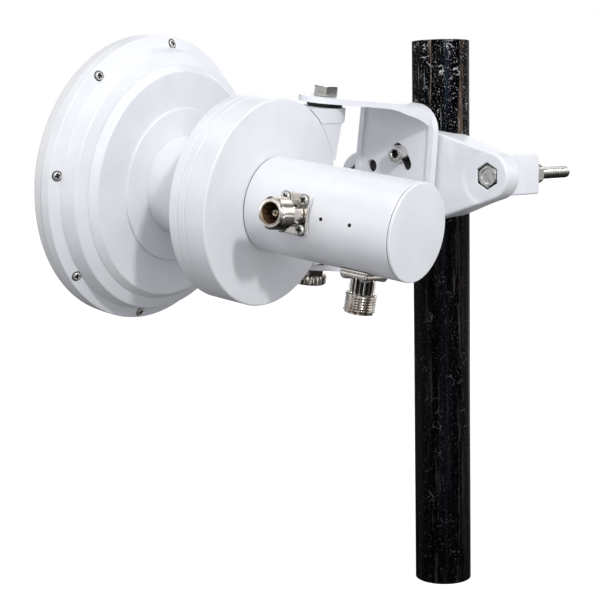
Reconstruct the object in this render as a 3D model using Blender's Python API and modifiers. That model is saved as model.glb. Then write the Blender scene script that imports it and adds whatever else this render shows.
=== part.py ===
"""Horn antenna for a radio link, held on a pole by a bracket that tilts and swivels.

Metres, +Z up.  The origin is the middle of the pole's flat foot.  The aperture looks along -Y and
a few degrees up, one cable socket looks along +X and the other one down.
"""

import math

import bmesh
import bpy
from mathutils import Matrix
from mathutils import Vector

# Driving dimensions, in millimetres and degrees
MM = 0.001
GAP = 0.3

# The pole and its bracket are drawn small, and the holder frame brings them to their real size
HOLDER_SCALE = 1.094

POLE_RADIUS = 14.5
POLE_WALL = 2.0
POLE_LENGTH = 279.5
PLUG_LENGTH = 12.0

CLAMP_HEIGHT = 212.0
CLAMP_FACE = 18.1
CLAMP_BACK = 0.5
CLAMP_TIP_BACK = 7.4
CLAMP_BOLT_SPACING = 81.4
CLAMP_TIP_RADIUS = 11.9
CLAMP_MIDDLE_RADIUS = 23.8
JAW_BACK = -18.0
JAW_HALF_HEIGHT = 9.9
JAW_HALF_LENGTH = 47.7
JAW_SPLIT = 0.8

TILT = 8.3
SWIVEL = 5.6
ROLL = 4.7
SWIVEL_PLACE = (59.6, -33.9, 195.1)
PIVOT_BEHIND = 5.1
PIVOT_ABOVE = 13.6
ANTENNA_SIDE = 52.7
ANTENNA_BEHIND = 11.7
ANTENNA_ABOVE = 10.0

YOKE_TOP = 57.6
YOKE_BOTTOM = -28.3
YOKE_REAR = 41.5
YOKE_REAR_SWELL = 1.4
YOKE_FRONT = -6.5
YOKE_CORNER = 14.0
YOKE_WALL = 2.8
YOKE_BACK = 2.0
WEB = 2.5
RIM = 4.0
ARM_END_RADIUS = 13.0
LOWER_END_RADIUS = 7.4
LUG_RADIUS = 10.5
SLOT_RADIUS = 24.3
SLOT_LOW = 32.4
SLOT_HIGH = 55.5
SLOT_HALF_WIDTH = 3.1
LOCK_ANGLE = 47.5

M5_RADIUS = 2.6
M6_RADIUS = 3.0
M8_RADIUS = 4.0

DRUM_RADIUS = 53.5
DRUM_FRONT = -23.3
NECK_RADIUS = 26.2
GUIDE_RADIUS = 22.0
HOUSING_RADIUS = 24.4
HOUSING_BORE = 20.0
HOUSING_LENGTH = 87.8
SIDE_PORT_ALONG = 32.6
BOTTOM_PORT_ALONG = 61.0
PORT_SEAT = 22.6

LARGE_STEPS = 60
MEDIUM_STEPS = 44
SMALL_STEPS = 28

# Finishes: base colour, roughness, metallic
FINISHES = {
    "white_paint": ((0.86, 0.87, 0.88, 1.0), 0.38, 0.0),
    "radome_white": ((0.90, 0.90, 0.89, 1.0), 0.45, 0.0),
    "black_steel": ((0.015, 0.014, 0.014, 1.0), 0.42, 0.2),
    "black_plastic": ((0.02, 0.02, 0.02, 1.0), 0.55, 0.0),
    "nickel": ((0.62, 0.60, 0.56, 1.0), 0.25, 1.0),
    "zinc_steel": ((0.55, 0.54, 0.51, 1.0), 0.32, 1.0),
    "brown_insulator": ((0.10, 0.055, 0.03, 1.0), 0.5, 0.0),
    "gold_contact": ((0.75, 0.55, 0.28, 1.0), 0.25, 1.0),
}

ALONG_X = Matrix(((0, 0, 1, 0), (1, 0, 0, 0), (0, 1, 0, 0), (0, 0, 0, 1)))


# Start from an empty scene
for old in list(bpy.data.objects):
    bpy.data.objects.remove(old, do_unlink=True)

pieces = bpy.data.collections.new("horn_antenna")
cutters = bpy.data.collections.new("cutters")
bpy.context.scene.collection.children.link(pieces)
bpy.context.scene.collection.children.link(cutters)
holder = bpy.data.objects.new("holder_frame", None)
holder.scale = (HOLDER_SCALE, HOLDER_SCALE, HOLDER_SCALE)
pieces.objects.link(holder)


# Shared builders
def paint(name, finish):
    """A material of its own for one piece."""
    colour, roughness, metallic = FINISHES[finish]
    material = bpy.data.materials.new(name + "_" + finish)
    material.use_nodes = True
    shader = material.node_tree.nodes["Principled BSDF"]
    shader.inputs["Base Color"].default_value = colour
    shader.inputs["Roughness"].default_value = roughness
    shader.inputs["Metallic"].default_value = metallic
    material.diffuse_color = colour
    return material


def place(item, parent, location, rotation):
    """Put an object at a place in millimetres and a turn in degrees under its parent."""
    item.parent = parent or holder
    item.location = Vector(location) * MM
    item.rotation_euler = [math.radians(angle) for angle in rotation]


def frame(name, parent=None, location=(0, 0, 0), rotation=(0, 0, 0)):
    """An empty that other pieces hang from."""
    empty = bpy.data.objects.new(name, None)
    empty.empty_display_size = 0.01
    pieces.objects.link(empty)
    place(empty, parent, location, rotation)
    return empty


def piece(name, mesh, finish, parent=None, location=(0, 0, 0), rotation=(0, 0, 0)):
    """One named sub-part with its own material."""
    mesh.name = name
    mesh.materials.clear()
    mesh.materials.append(paint(name, finish))
    mesh.shade_smooth()
    mesh.set_sharp_from_angle(angle=math.radians(35))
    item = bpy.data.objects.new(name, mesh)
    pieces.objects.link(item)
    place(item, parent, location, rotation)
    return item


def cutter(name, mesh, parent=None, location=(0, 0, 0), rotation=(0, 0, 0)):
    """A tool body for a Boolean, not part of the object."""
    mesh.name = name
    item = bpy.data.objects.new(name, mesh)
    item.hide_render = True
    item.display_type = "WIRE"
    cutters.objects.link(item)
    place(item, parent, location, rotation)
    return item


def combine(item, tool, operation="DIFFERENCE"):
    """Cut a tool body out of a piece, or join it on."""
    modifier = item.modifiers.new(tool.name, "BOOLEAN")
    modifier.object = tool
    modifier.operation = operation
    modifier.solver = "EXACT"


def turned(name, profile, steps, finish, parent=None, location=(0, 0, 0), rotation=(0, 0, 0), ring=False):
    """A turned piece about its local Z; the profile (radius, z) runs down its outer side."""
    count = len(profile)
    edges = [(i, i + 1) for i in range(count - 1)]
    if ring:
        edges.append((count - 1, 0))
    mesh = bpy.data.meshes.new(name)
    mesh.from_pydata([(radius * MM, 0.0, z * MM) for radius, z in profile], edges, [])
    item = piece(name, mesh, finish, parent, location, rotation)
    screw = item.modifiers.new("turn", "SCREW")
    screw.axis = "Z"
    screw.angle = 2.0 * math.pi
    screw.steps = steps
    screw.render_steps = steps
    screw.use_merge_vertices = True
    screw.merge_threshold = 0.00001
    screw.use_smooth_shade = True
    return item


def tube_profile(inner, outer, low, high):
    """A plain ring's profile."""
    return [(inner, high), (outer, high), (outer, low), (inner, low)]


def round_bar(radius, low, high, segments=SMALL_STEPS, turn=0.0):
    """A cylinder, or with six segments a hexagon, about Z from low to high."""
    shape = bmesh.new()
    middle = Matrix.Translation((0.0, 0.0, (low + high) / 2.0 * MM))
    spin = Matrix.Rotation(math.radians(turn), 4, "Z")
    bmesh.ops.create_cone(
        shape, cap_ends=True, cap_tris=False, segments=segments, radius1=radius * MM,
        radius2=radius * MM, depth=(high - low) * MM, matrix=middle @ spin)
    mesh = bpy.data.meshes.new("bar")
    shape.to_mesh(mesh)
    shape.free()
    return mesh


def block(low, high):
    """A box between two corners."""
    shape = bmesh.new()
    size = [high[i] - low[i] for i in range(3)]
    centre = [(high[i] + low[i]) / 2.0 * MM for i in range(3)]
    scale = Matrix.Diagonal((size[0] * MM, size[1] * MM, size[2] * MM, 1.0))
    bmesh.ops.create_cube(shape, size=1.0, matrix=Matrix.Translation(centre) @ scale)
    mesh = bpy.data.meshes.new("block")
    shape.to_mesh(mesh)
    shape.free()
    return mesh


def prism(outline, low, high):
    """A flat outline drawn as a filled 2D curve and extruded along Z from low to high."""
    curve = bpy.data.curves.new("outline", "CURVE")
    curve.dimensions = "2D"
    curve.fill_mode = "BOTH"
    curve.extrude = (high - low) / 2.0 * MM
    spline = curve.splines.new("POLY")
    spline.points.add(len(outline) - 1)
    for point, (u, v) in zip(spline.points, outline):
        point.co = (u * MM, v * MM, 0.0, 1.0)
    spline.use_cyclic_u = True
    drawing = bpy.data.objects.new("outline", curve)
    bpy.context.scene.collection.objects.link(drawing)
    graph = bpy.context.evaluated_depsgraph_get()
    mesh = bpy.data.meshes.new_from_object(drawing.evaluated_get(graph))
    bpy.data.objects.remove(drawing, do_unlink=True)
    bpy.data.curves.remove(curve)
    shape = bmesh.new()
    shape.from_mesh(mesh)
    bmesh.ops.remove_doubles(shape, verts=shape.verts, dist=0.000001)
    bmesh.ops.dissolve_limit(shape, angle_limit=0.001, verts=shape.verts, edges=shape.edges)
    bmesh.ops.translate(shape, verts=shape.verts, vec=(0.0, 0.0, (low + high) / 2.0 * MM))
    bmesh.ops.recalc_face_normals(shape, faces=shape.faces)
    shape.to_mesh(mesh)
    shape.free()
    return mesh


def facing_x(mesh):
    """Turn a shape drawn in (Y, Z) with its depth along Z so that its depth is along X."""
    mesh.transform(ALONG_X)
    return mesh


def arc(centre, radius, start, end, steps):
    """Points on an arc, angles in degrees."""
    points = []
    for i in range(steps + 1):
        angle = math.radians(start + (end - start) * i / steps)
        points.append((centre[0] + radius * math.cos(angle), centre[1] + radius * math.sin(angle)))
    return points


# Pole: a steel tube with a flush plug in each end
def build_pole():
    profile = tube_profile(POLE_RADIUS - POLE_WALL, POLE_RADIUS, 0.0, POLE_LENGTH)
    turned("pole_tube", profile, MEDIUM_STEPS, "black_steel", ring=True)
    plug_radius = POLE_RADIUS - POLE_WALL - GAP
    foot = round_bar(plug_radius, 0.0, PLUG_LENGTH, MEDIUM_STEPS)
    piece("pole_foot_plug", foot, "black_plastic")
    top = round_bar(plug_radius, POLE_LENGTH - PLUG_LENGTH, POLE_LENGTH, MEDIUM_STEPS)
    piece("pole_top_plug", top, "black_plastic")


# Clamp: a lozenge casting in front of the pole and a jaw behind it, drawn together by two bolts
def clamp_outline():
    """The hull of a round middle and two round ends, as (along, up)."""
    reach = CLAMP_BOLT_SPACING / 2.0
    slope = math.degrees(math.asin((CLAMP_MIDDLE_RADIUS - CLAMP_TIP_RADIUS) / reach))
    flank = 90.0 - slope
    points = arc((reach, 0.0), CLAMP_TIP_RADIUS, -flank, flank, 14)
    points += arc((0.0, 0.0), CLAMP_MIDDLE_RADIUS, flank, 180.0 - flank, 5)
    points += arc((-reach, 0.0), CLAMP_TIP_RADIUS, 180.0 - flank, 180.0 + flank, 14)
    points += arc((0.0, 0.0), CLAMP_MIDDLE_RADIUS, 180.0 + flank, 360.0 - flank, 5)
    return points


def build_clamp_arm(pivot, lock):
    body = facing_x(prism(clamp_outline(), CLAMP_BACK, CLAMP_FACE))
    height = (0.0, 0.0, CLAMP_HEIGHT)
    arm = piece("clamp_arm", body, "white_paint", location=height)
    edge = arm.modifiers.new("edge", "BEVEL")
    edge.width = 1.2 * MM
    edge.segments = 2
    edge.limit_method = "ANGLE"
    edge.angle_limit = math.radians(60)
    knee = 18.0
    wedge_end = 38.0
    rise = (CLAMP_TIP_BACK - CLAMP_BACK) / (wedge_end - knee)
    start = knee - 3.0
    for side in (-1.0, 1.0):
        plan = [
            (CLAMP_BACK - 3.0 * rise, side * start),
            (CLAMP_TIP_BACK, side * wedge_end),
            (CLAMP_TIP_BACK, side * 60.0),
            (-6.0, side * 60.0),
            (-6.0, side * start),
        ]
        wedge = cutter("clamp_wedge", prism(plan, -30.0, 30.0), location=height)
        combine(arm, wedge)
        bolt_place = (0.0, side * CLAMP_BOLT_SPACING / 2.0, CLAMP_HEIGHT)
        hole = facing_x(round_bar(M6_RADIUS + GAP, -5.0, CLAMP_FACE + 5.0, 20))
        combine(arm, cutter("clamp_bolt_hole", hole, location=bolt_place))
        pocket = facing_x(round_bar(6.35, CLAMP_FACE - 5.3, CLAMP_FACE + 5.0, 6, 0.0))
        combine(arm, cutter("clamp_bolt_pocket", pocket, location=bolt_place))
    bore = round_bar(POLE_RADIUS + GAP, -40.0, 40.0, MEDIUM_STEPS)
    combine(arm, cutter("clamp_pole_bore", bore, location=height))
    for name, place_at, end in (("pivot", pivot, 7.5), ("lock", lock, 13.4)):
        hole = facing_x(round_bar(M5_RADIUS + GAP, end, CLAMP_FACE + 5.0, 20))
        combine(arm, cutter("clamp_" + name + "_hole", hole, location=(0.0, place_at[0], place_at[1])))


def build_clamp_jaw():
    front_end = CLAMP_TIP_BACK - JAW_SPLIT
    front_middle = CLAMP_BACK - JAW_SPLIT
    half = [
        (JAW_BACK, -JAW_HALF_LENGTH),
        (-6.0, -JAW_HALF_LENGTH),
        (front_end, 2.2 - JAW_HALF_LENGTH),
        (front_end, -38.0),
        (front_middle, -18.0),
    ]
    plan = half + [(x, -y) for x, y in reversed(half)]
    height = (0.0, 0.0, CLAMP_HEIGHT)
    jaw = piece("clamp_jaw", prism(plan, -JAW_HALF_HEIGHT, JAW_HALF_HEIGHT), "white_paint", location=height)
    edge = jaw.modifiers.new("edge", "BEVEL")
    edge.width = 0.8 * MM
    edge.segments = 2
    edge.limit_method = "ANGLE"
    edge.angle_limit = math.radians(60)
    bore = round_bar(POLE_RADIUS + GAP, -40.0, 40.0, MEDIUM_STEPS)
    combine(jaw, cutter("jaw_pole_bore", bore, location=height))
    for side in (-1.0, 1.0):
        hole = facing_x(round_bar(M6_RADIUS + GAP, -40.0, 20.0, 20))
        bolt_place = (0.0, side * CLAMP_BOLT_SPACING / 2.0, CLAMP_HEIGHT)
        combine(jaw, cutter("jaw_bolt_hole", hole, location=bolt_place))


def hex_bolt(name, head, shank, finish, turn, **where):
    """A hexagon head (radius, low, high) with a round shank (radius, low, high) about local Z."""
    bolt = piece(name, round_bar(head[0], head[1], head[2], 6, turn), finish, **where)
    stem = cutter(name + "_shank", round_bar(shank[0], shank[1], shank[2], 20), **where)
    combine(bolt, stem, "UNION")
    return bolt


def build_clamp_fasteners():
    head_top = CLAMP_FACE - 1.0
    head_base = head_top - 4.0
    stud_end = -56.7
    washer = (JAW_BACK - GAP - 0.8, JAW_BACK - GAP)
    nut = (washer[0] - GAP - 4.2, washer[0] - GAP)
    upright = (0.0, 90.0, 0.0)
    for label, side in (("front", -1.0), ("rear", 1.0)):
        at = (0.0, side * CLAMP_BOLT_SPACING / 2.0, CLAMP_HEIGHT)
        hex_bolt(
            "clamp_bolt_" + label, (5.6, head_base, head_top), (M6_RADIUS, stud_end, head_base + 1.0),
            "zinc_steel", 90.0, location=at, rotation=upright)
        ring = tube_profile(M6_RADIUS + GAP, 6.0, washer[0], washer[1])
        turned(
            "clamp_washer_" + label, ring, 24, "zinc_steel", location=at, rotation=upright, ring=True)
        body = round_bar(5.77, nut[0], nut[1], 6, 0.0)
        hex_nut = piece("clamp_nut_" + label, body, "zinc_steel", location=at, rotation=upright)
        thread = round_bar(M6_RADIUS + GAP, nut[0] - 2.0, nut[1] + 2.0, 20)
        combine(hex_nut, cutter("clamp_nut_thread", thread, location=at, rotation=upright))


# Yoke: a shallow tray beside the pole whose top and bottom arms reach out to the swivel bolts
def yoke_outline(left, inset):
    """The tray's outline as (behind, above) the swivel axis, moved in by a wall's thickness."""
    top = YOKE_TOP - inset
    bottom = YOKE_BOTTOM + inset
    rear = YOKE_REAR - inset
    radius = YOKE_CORNER - inset
    middle = (YOKE_TOP + YOKE_BOTTOM) / 2.0
    points = [(left, bottom)]
    points += arc((rear - radius, bottom + radius), radius, -90.0, 0.0, 8)
    points.append((rear + YOKE_REAR_SWELL, middle))
    points += arc((rear - radius, top - radius), radius, 0.0, 90.0, 8)
    points.append((left, top))
    return points


def arm_trim(knee_along, knee_out, heel, end_radius):
    """What is cut away round an arm, seen from above as (out from the clamp, behind the axis).

    The arm keeps a round end about the swivel axis.  Its near edge runs straight from there to a
    knee and then along the tray's rim, and its far edge runs straight to the rim's front end.
    """
    reach = CLAMP_REACH
    near = (knee_out - reach, knee_along)
    far = (YOKE_BACK + RIM - reach, YOKE_FRONT)
    start = math.degrees(math.atan2(near[1], near[0]) - math.acos(end_radius / math.hypot(*near)))
    end = math.degrees(math.atan2(far[1], far[0]) + math.acos(end_radius / math.hypot(*far)))
    points = [(80.0, -50.0), (80.0, 70.0), (YOKE_BACK + RIM, 70.0), (YOKE_BACK + RIM, heel)]
    points.append((knee_out, knee_along))
    points += arc((reach, 0.0), end_radius, start, end, 20)
    points += [(YOKE_BACK + RIM, YOKE_FRONT), (-5.0, YOKE_FRONT), (-5.0, -50.0)]
    return points


def slot_outline():
    """The tilt slot, an arc about the pivot with round ends."""
    centre = (PIVOT_BEHIND, PIVOT_ABOVE)
    points = arc(centre, SLOT_RADIUS + SLOT_HALF_WIDTH, SLOT_LOW, SLOT_HIGH, 8)
    high = arc(centre, SLOT_RADIUS, SLOT_HIGH, SLOT_HIGH, 1)[0]
    low = arc(centre, SLOT_RADIUS, SLOT_LOW, SLOT_LOW, 1)[0]
    points += arc(high, SLOT_HALF_WIDTH, SLOT_HIGH, SLOT_HIGH + 180.0, 8)[1:-1]
    points += arc(centre, SLOT_RADIUS - SLOT_HALF_WIDTH, SLOT_HIGH, SLOT_LOW, 8)
    points += arc(low, SLOT_HALF_WIDTH, SLOT_LOW + 180.0, SLOT_LOW + 360.0, 8)[1:-1]
    return points


def build_yoke(tilt_frame):
    at = (0.0, -PIVOT_BEHIND, -PIVOT_ABOVE)
    reach = CLAMP_REACH + ARM_END_RADIUS + 1.0
    middle = (YOKE_TOP + YOKE_BOTTOM) / 2.0
    body = facing_x(prism(yoke_outline(-ARM_END_RADIUS - 1.0, 0.0), YOKE_BACK, reach))
    yoke = piece("yoke", body, "white_paint", tilt_frame, at)
    tools = {
        "yoke_throat": facing_x(prism(yoke_outline(-30.0, YOKE_WALL), YOKE_BACK + RIM, reach + 5.0)),
        "yoke_tray": facing_x(
            prism(yoke_outline(YOKE_FRONT + YOKE_WALL, YOKE_WALL + 0.2), YOKE_BACK + WEB, reach + 5.0)),
        "yoke_trim_top": prism(
            arm_trim(34.0, 19.5, 38.0, ARM_END_RADIUS), middle - 1.0, YOKE_TOP + 10.0),
        "yoke_trim_bottom": prism(
            arm_trim(26.0, 17.5, 36.0, LOWER_END_RADIUS), YOKE_BOTTOM - 10.0, middle + 1.0),
        "yoke_slot": facing_x(prism(slot_outline(), 0.0, 12.0)),
    }
    for name, mesh in tools.items():
        combine(yoke, cutter(name, mesh, tilt_frame, at))
    side_holes = (("yoke_pivot_hole", 0.0, 0.0, M5_RADIUS + GAP), ("yoke_spare_hole", -1.8, 9.1, 3.25))
    for name, along, up, radius in side_holes:
        hole = facing_x(round_bar(radius, 0.0, 12.0, 24))
        combine(yoke, cutter(name, hole, tilt_frame, (0.0, along, up)))
    axis = (CLAMP_REACH, -PIVOT_BEHIND, -PIVOT_ABOVE)
    upper = round_bar(M6_RADIUS + GAP, YOKE_TOP - 6.0, YOKE_TOP + 3.0, 24)
    combine(yoke, cutter("yoke_upper_hole", upper, tilt_frame, axis))
    lower = round_bar(M8_RADIUS + GAP, YOKE_BOTTOM - 3.0, YOKE_BOTTOM + 6.0, 24)
    combine(yoke, cutter("yoke_lower_hole", lower, tilt_frame, axis))


# Tilt fasteners: a pivot screw, a lock screw through the arc slot, and a spacer under each
def build_tilt_fasteners(pivot, lock):
    head_base = CLAMP_FACE + YOKE_BACK + WEB + GAP
    upright = (0.0, 90.0, 0.0)
    for name, place_at, shank_end, spacer_radius in (
            ("pivot", pivot, 7.8, 8.5), ("lock", lock, 13.7, 5.5)):
        at = (0.0, place_at[0], place_at[1])
        profile = [
            (0.0, head_base + 2.2),
            (2.0, head_base + 2.6),
            (2.0, head_base + 5.0),
            (3.8, head_base + 5.0),
            (4.25, head_base + 4.5),
            (4.25, head_base),
            (M5_RADIUS, head_base),
            (M5_RADIUS, shank_end),
            (0.0, shank_end),
        ]
        turned(name + "_screw", profile, 24, "zinc_steel", location=at, rotation=upright)
        ring = tube_profile(
            M5_RADIUS + GAP, spacer_radius, CLAMP_FACE + GAP, CLAMP_FACE + YOKE_BACK - GAP)
        turned(name + "_spacer", ring, 28, "white_paint", location=at, rotation=upright, ring=True)


# Swivel fasteners: a bolt through each arm, with a black washer under it
def build_swivel_fasteners(swivel_frame):
    face_turn = 7.0
    lug_top = YOKE_TOP - YOKE_WALL - 2.0 * GAP - 1.6
    head_low = YOKE_TOP + GAP
    hex_bolt(
        "upper_swivel_bolt", (5.6, head_low, head_low + 4.2), (M6_RADIUS, lug_top - 6.0, head_low + 1.0),
        "zinc_steel", face_turn, parent=swivel_frame)
    ring = tube_profile(M6_RADIUS + GAP, 8.75, lug_top + GAP, lug_top + GAP + 1.6)
    turned("upper_swivel_washer", ring, SMALL_STEPS, "black_plastic", swivel_frame, ring=True)
    head_high = YOKE_BOTTOM - GAP
    hex_bolt(
        "lower_swivel_bolt", (7.5, head_high - 6.3, head_high), (M8_RADIUS, head_high - 1.0, -18.0),
        "nickel", face_turn, parent=swivel_frame)
    low = YOKE_BOTTOM + YOKE_WALL + GAP
    ring = tube_profile(M8_RADIUS + GAP, 8.0, low, low + 0.9)
    turned("lower_swivel_washer", ring, SMALL_STEPS, "black_plastic", swivel_frame, ring=True)


# Lugs: on the drum's side, a thick plate with a web behind it for each swivel bolt
def build_lugs(swivel_frame, axis):
    lug_top = YOKE_TOP - YOKE_WALL - 2.0 * GAP - 1.6
    plan = arc((0.0, 0.0), LUG_RADIUS, 90.0, 270.0, 20)
    plan += [(32.0, -LUG_RADIUS), (32.0, LUG_RADIUS)]
    upper_web = [(-2.0, 46.7), (0.5, 27.5), (30.0, 27.5), (30.0, 46.7)]
    lower_web = [(-2.0, -18.2), (0.6, -9.0), (30.0, -9.0), (30.0, -18.2)]
    lugs = (
        ("upper", 45.7, lug_top, M6_RADIUS, upper_web),
        ("lower", -24.0, -17.2, M8_RADIUS, lower_web),
    )
    for label, low, high, bolt_radius, side in lugs:
        lug = piece(label + "_lug", prism(plan, low, high), "white_paint", swivel_frame)
        web = prism(side, -LUG_RADIUS + 0.4, -LUG_RADIUS + 5.9)
        combine(lug, cutter(label + "_lug_web", web, swivel_frame, rotation=(90.0, 0.0, 0.0)), "UNION")
        drum = round_bar(DRUM_RADIUS + GAP, -60.0, 60.0, 96)
        combine(lug, cutter(label + "_lug_drum", drum, axis))
        hole = round_bar(bolt_radius + GAP, low - 5.0, high + 5.0, 20)
        combine(lug, cutter(label + "_lug_hole", hole, swivel_frame))


# Horn: a radome over a stepped shell, all turned about the antenna's axis
def build_horn(axis):
    flange_front = -88.85
    flange_rear = -80.9
    radome = [
        (0.0, -93.6),
        (73.4, -93.6),
        (73.4, flange_front - GAP),
        (76.6, flange_front - GAP),
        (76.6, -93.6),
        (75.9, -95.3),
        (74.2, -96.1),
        (0.0, -96.1),
    ]
    turned("radome", radome, LARGE_STEPS, "radome_white", axis)
    flange = [
        (68.6, flange_rear),
        (71.3, flange_rear),
        (76.5, -82.9),
        (76.9, -83.4),
        (76.9, -88.4),
        (76.5, flange_front),
        (68.6, flange_front),
    ]
    turned("horn_rim_flange", flange, LARGE_STEPS, "white_paint", axis, ring=True)
    outer_step = [
        (61.0, -69.3),
        (63.4, -69.3),
        (69.1, -71.9),
        (69.75, -72.6),
        (71.2, flange_rear + GAP),
        (68.6, flange_rear + GAP),
        (67.2, -73.9),
        (61.0, -71.6),
    ]
    turned("horn_outer_step", outer_step, LARGE_STEPS, "white_paint", axis, ring=True)
    disc = -64.9
    inner_step = [
        (NECK_RADIUS + GAP, disc),
        (59.9, disc),
        (60.6, disc - 0.5),
        (63.2, -69.3 + GAP),
        (60.6, -69.3 + GAP),
        (58.6, disc - 2.5),
        (NECK_RADIUS + GAP, disc - 2.5),
    ]
    turned("horn_inner_step", inner_step, LARGE_STEPS, "white_paint", axis, ring=True)
    collar = [
        (NECK_RADIUS + GAP, disc + 1.5),
        (40.6, disc + 1.5),
        (41.0, disc + 1.1),
        (41.0, disc + GAP),
        (NECK_RADIUS + GAP, disc + GAP),
    ]
    turned("neck_collar", collar, MEDIUM_STEPS, "white_paint", axis, ring=True)
    neck = tube_profile(GUIDE_RADIUS, NECK_RADIUS, disc - 2.2, DRUM_FRONT - GAP)
    turned("waveguide_neck", neck, MEDIUM_STEPS, "white_paint", axis, ring=True)


# Drum: three stacked discs behind the neck, with a fine seam between each pair
def build_drum(axis):
    seams = (-17.7, -12.85)
    spans = (
        ("drum_front_plate", DRUM_FRONT, seams[0] - GAP / 2.0, 0.8, 0.2),
        ("drum_middle_plate", seams[0] + GAP / 2.0, seams[1] - GAP / 2.0, 0.2, 0.2),
        ("drum_body", seams[1] + GAP / 2.0, 0.0, 0.2, 1.0),
    )
    for name, low, high, low_edge, high_edge in spans:
        profile = [
            (GUIDE_RADIUS, high),
            (DRUM_RADIUS - high_edge, high),
            (DRUM_RADIUS, high - high_edge),
            (DRUM_RADIUS, low + low_edge),
            (DRUM_RADIUS - low_edge, low),
            (GUIDE_RADIUS, low),
        ]
        turned(name, profile, LARGE_STEPS, "white_paint", axis, ring=True)


# Feed housing: a round body with a flat seat for each socket and an end cap
def build_housing(axis):
    cap_seat = HOUSING_LENGTH - 1.9
    profile = tube_profile(HOUSING_BORE, HOUSING_RADIUS, GAP, cap_seat)
    housing = turned("feed_housing", profile, MEDIUM_STEPS, "white_paint", axis, ring=True)
    side = block((PORT_SEAT, -14.0, SIDE_PORT_ALONG - 8.7), (30.0, 14.0, SIDE_PORT_ALONG + 8.7))
    combine(housing, cutter("side_port_seat", side, axis))
    bottom = block((-14.0, PORT_SEAT, BOTTOM_PORT_ALONG - 8.7), (14.0, 30.0, BOTTOM_PORT_ALONG + 8.7))
    combine(housing, cutter("bottom_port_seat", bottom, axis))
    cap = [
        (0.0, HOUSING_LENGTH),
        (HOUSING_RADIUS - 0.8, HOUSING_LENGTH),
        (HOUSING_RADIUS, HOUSING_LENGTH - 0.8),
        (HOUSING_RADIUS, cap_seat + GAP),
        (HOUSING_BORE - GAP, cap_seat + GAP),
        (HOUSING_BORE - GAP, cap_seat - 6.0),
        (0.0, cap_seat - 6.0),
    ]
    turned("housing_end_cap", cap, MEDIUM_STEPS, "white_paint", axis)


# Cable sockets: a square flange, a threaded barrel, an insulator and a centre contact each
def build_port(label, port, along, across):
    """One socket about its frame's Z, which points out of the housing."""
    flange_low = PORT_SEAT + GAP
    flange_high = flange_low + 3.5
    u = along / 2.0
    v = across / 2.0
    corner = 1.6
    outline = []
    for cx, cy, start in ((u, v, 0.0), (-u, v, 90.0), (-u, -v, 180.0), (u, -v, 270.0)):
        centre = (cx - math.copysign(corner, cx), cy - math.copysign(corner, cy))
        outline += arc(centre, corner, start, start + 90.0, 4)
    piece(label + "_port_flange", prism(outline, flange_low, flange_high), "nickel", port)
    floor = 33.0
    front = 44.5
    barrel = [
        (0.0, floor),
        (4.9, floor),
        (4.9, front - 0.5),
        (5.4, front),
        (6.7, front),
        (7.1, front - 0.4),
        (7.1, front - 1.0),
        (7.95, front - 1.5),
        (7.95, 35.0),
        (7.4, 34.4),
        (6.5, 34.4),
        (6.5, flange_high + GAP),
        (0.0, flange_high + GAP),
    ]
    turned(label + "_port_barrel", barrel, SMALL_STEPS, "nickel", port)
    insulator = tube_profile(1.5 + GAP, 4.6, floor + GAP, floor + 2.5)
    turned(label + "_port_insulator", insulator, SMALL_STEPS, "brown_insulator", port, ring=True)
    contact = round_bar(1.5, floor + GAP, 40.0, 16)
    piece(label + "_port_contact", contact, "gold_contact", port)


# Assembly: the clamp is fixed, the tilt frame turns on the pivot screw, the swivel frame on the bolts
CLAMP_REACH = SWIVEL_PLACE[0] - CLAMP_FACE
lean = math.radians(TILT)
pivot_at = (
    SWIVEL_PLACE[1] + PIVOT_BEHIND * math.cos(lean) + PIVOT_ABOVE * math.sin(lean),
    SWIVEL_PLACE[2] - PIVOT_BEHIND * math.sin(lean) + PIVOT_ABOVE * math.cos(lean),
)
lock_lean = math.radians(LOCK_ANGLE - TILT)
lock_at = (
    pivot_at[0] + SLOT_RADIUS * math.cos(lock_lean),
    pivot_at[1] + SLOT_RADIUS * math.sin(lock_lean),
)

build_pole()
build_clamp_arm(pivot_at, lock_at)
build_clamp_jaw()
build_clamp_fasteners()
build_tilt_fasteners(pivot_at, lock_at)

tilt = frame("tilt_frame", None, (CLAMP_FACE, pivot_at[0], pivot_at[1]), (-TILT, 0.0, 0.0))
build_yoke(tilt)
swivel = frame("swivel_frame", tilt, (CLAMP_REACH, -PIVOT_BEHIND, -PIVOT_ABOVE), (0.0, 0.0, SWIVEL))
build_swivel_fasteners(swivel)
antenna_at = (ANTENNA_SIDE / HOLDER_SCALE, ANTENNA_BEHIND / HOLDER_SCALE, ANTENNA_ABOVE / HOLDER_SCALE)
antenna = frame("antenna_frame", swivel, antenna_at, (-90.0, 0.0, 0.0))
antenna.scale = (1.0 / HOLDER_SCALE, 1.0 / HOLDER_SCALE, 1.0 / HOLDER_SCALE)
rolled = frame("rolled_frame", antenna, (0.0, 0.0, 0.0), (0.0, 0.0, -ROLL))
build_horn(rolled)
build_drum(rolled)
build_housing(rolled)
build_lugs(swivel, rolled)
side_port = frame("side_port_frame", rolled, (0.0, 0.0, SIDE_PORT_ALONG), (0.0, 90.0, 0.0))
build_port("side", side_port, 16.5, 20.0)
bottom_port = frame("bottom_port_frame", rolled, (0.0, 0.0, BOTTOM_PORT_ALONG), (-90.0, 0.0, 0.0))
build_port("bottom", bottom_port, 20.0, 16.5)
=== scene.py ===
"""Looks for a horn antenna on its pole: a worn black pole, a white cast clamp, a bent steel yoke, a spun
horn, a stacked drum, a round feed housing with two cable sockets, and the screws that hold them."""

import math

import bmesh
import bpy
import numpy as np
from mathutils import Euler, Matrix


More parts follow.
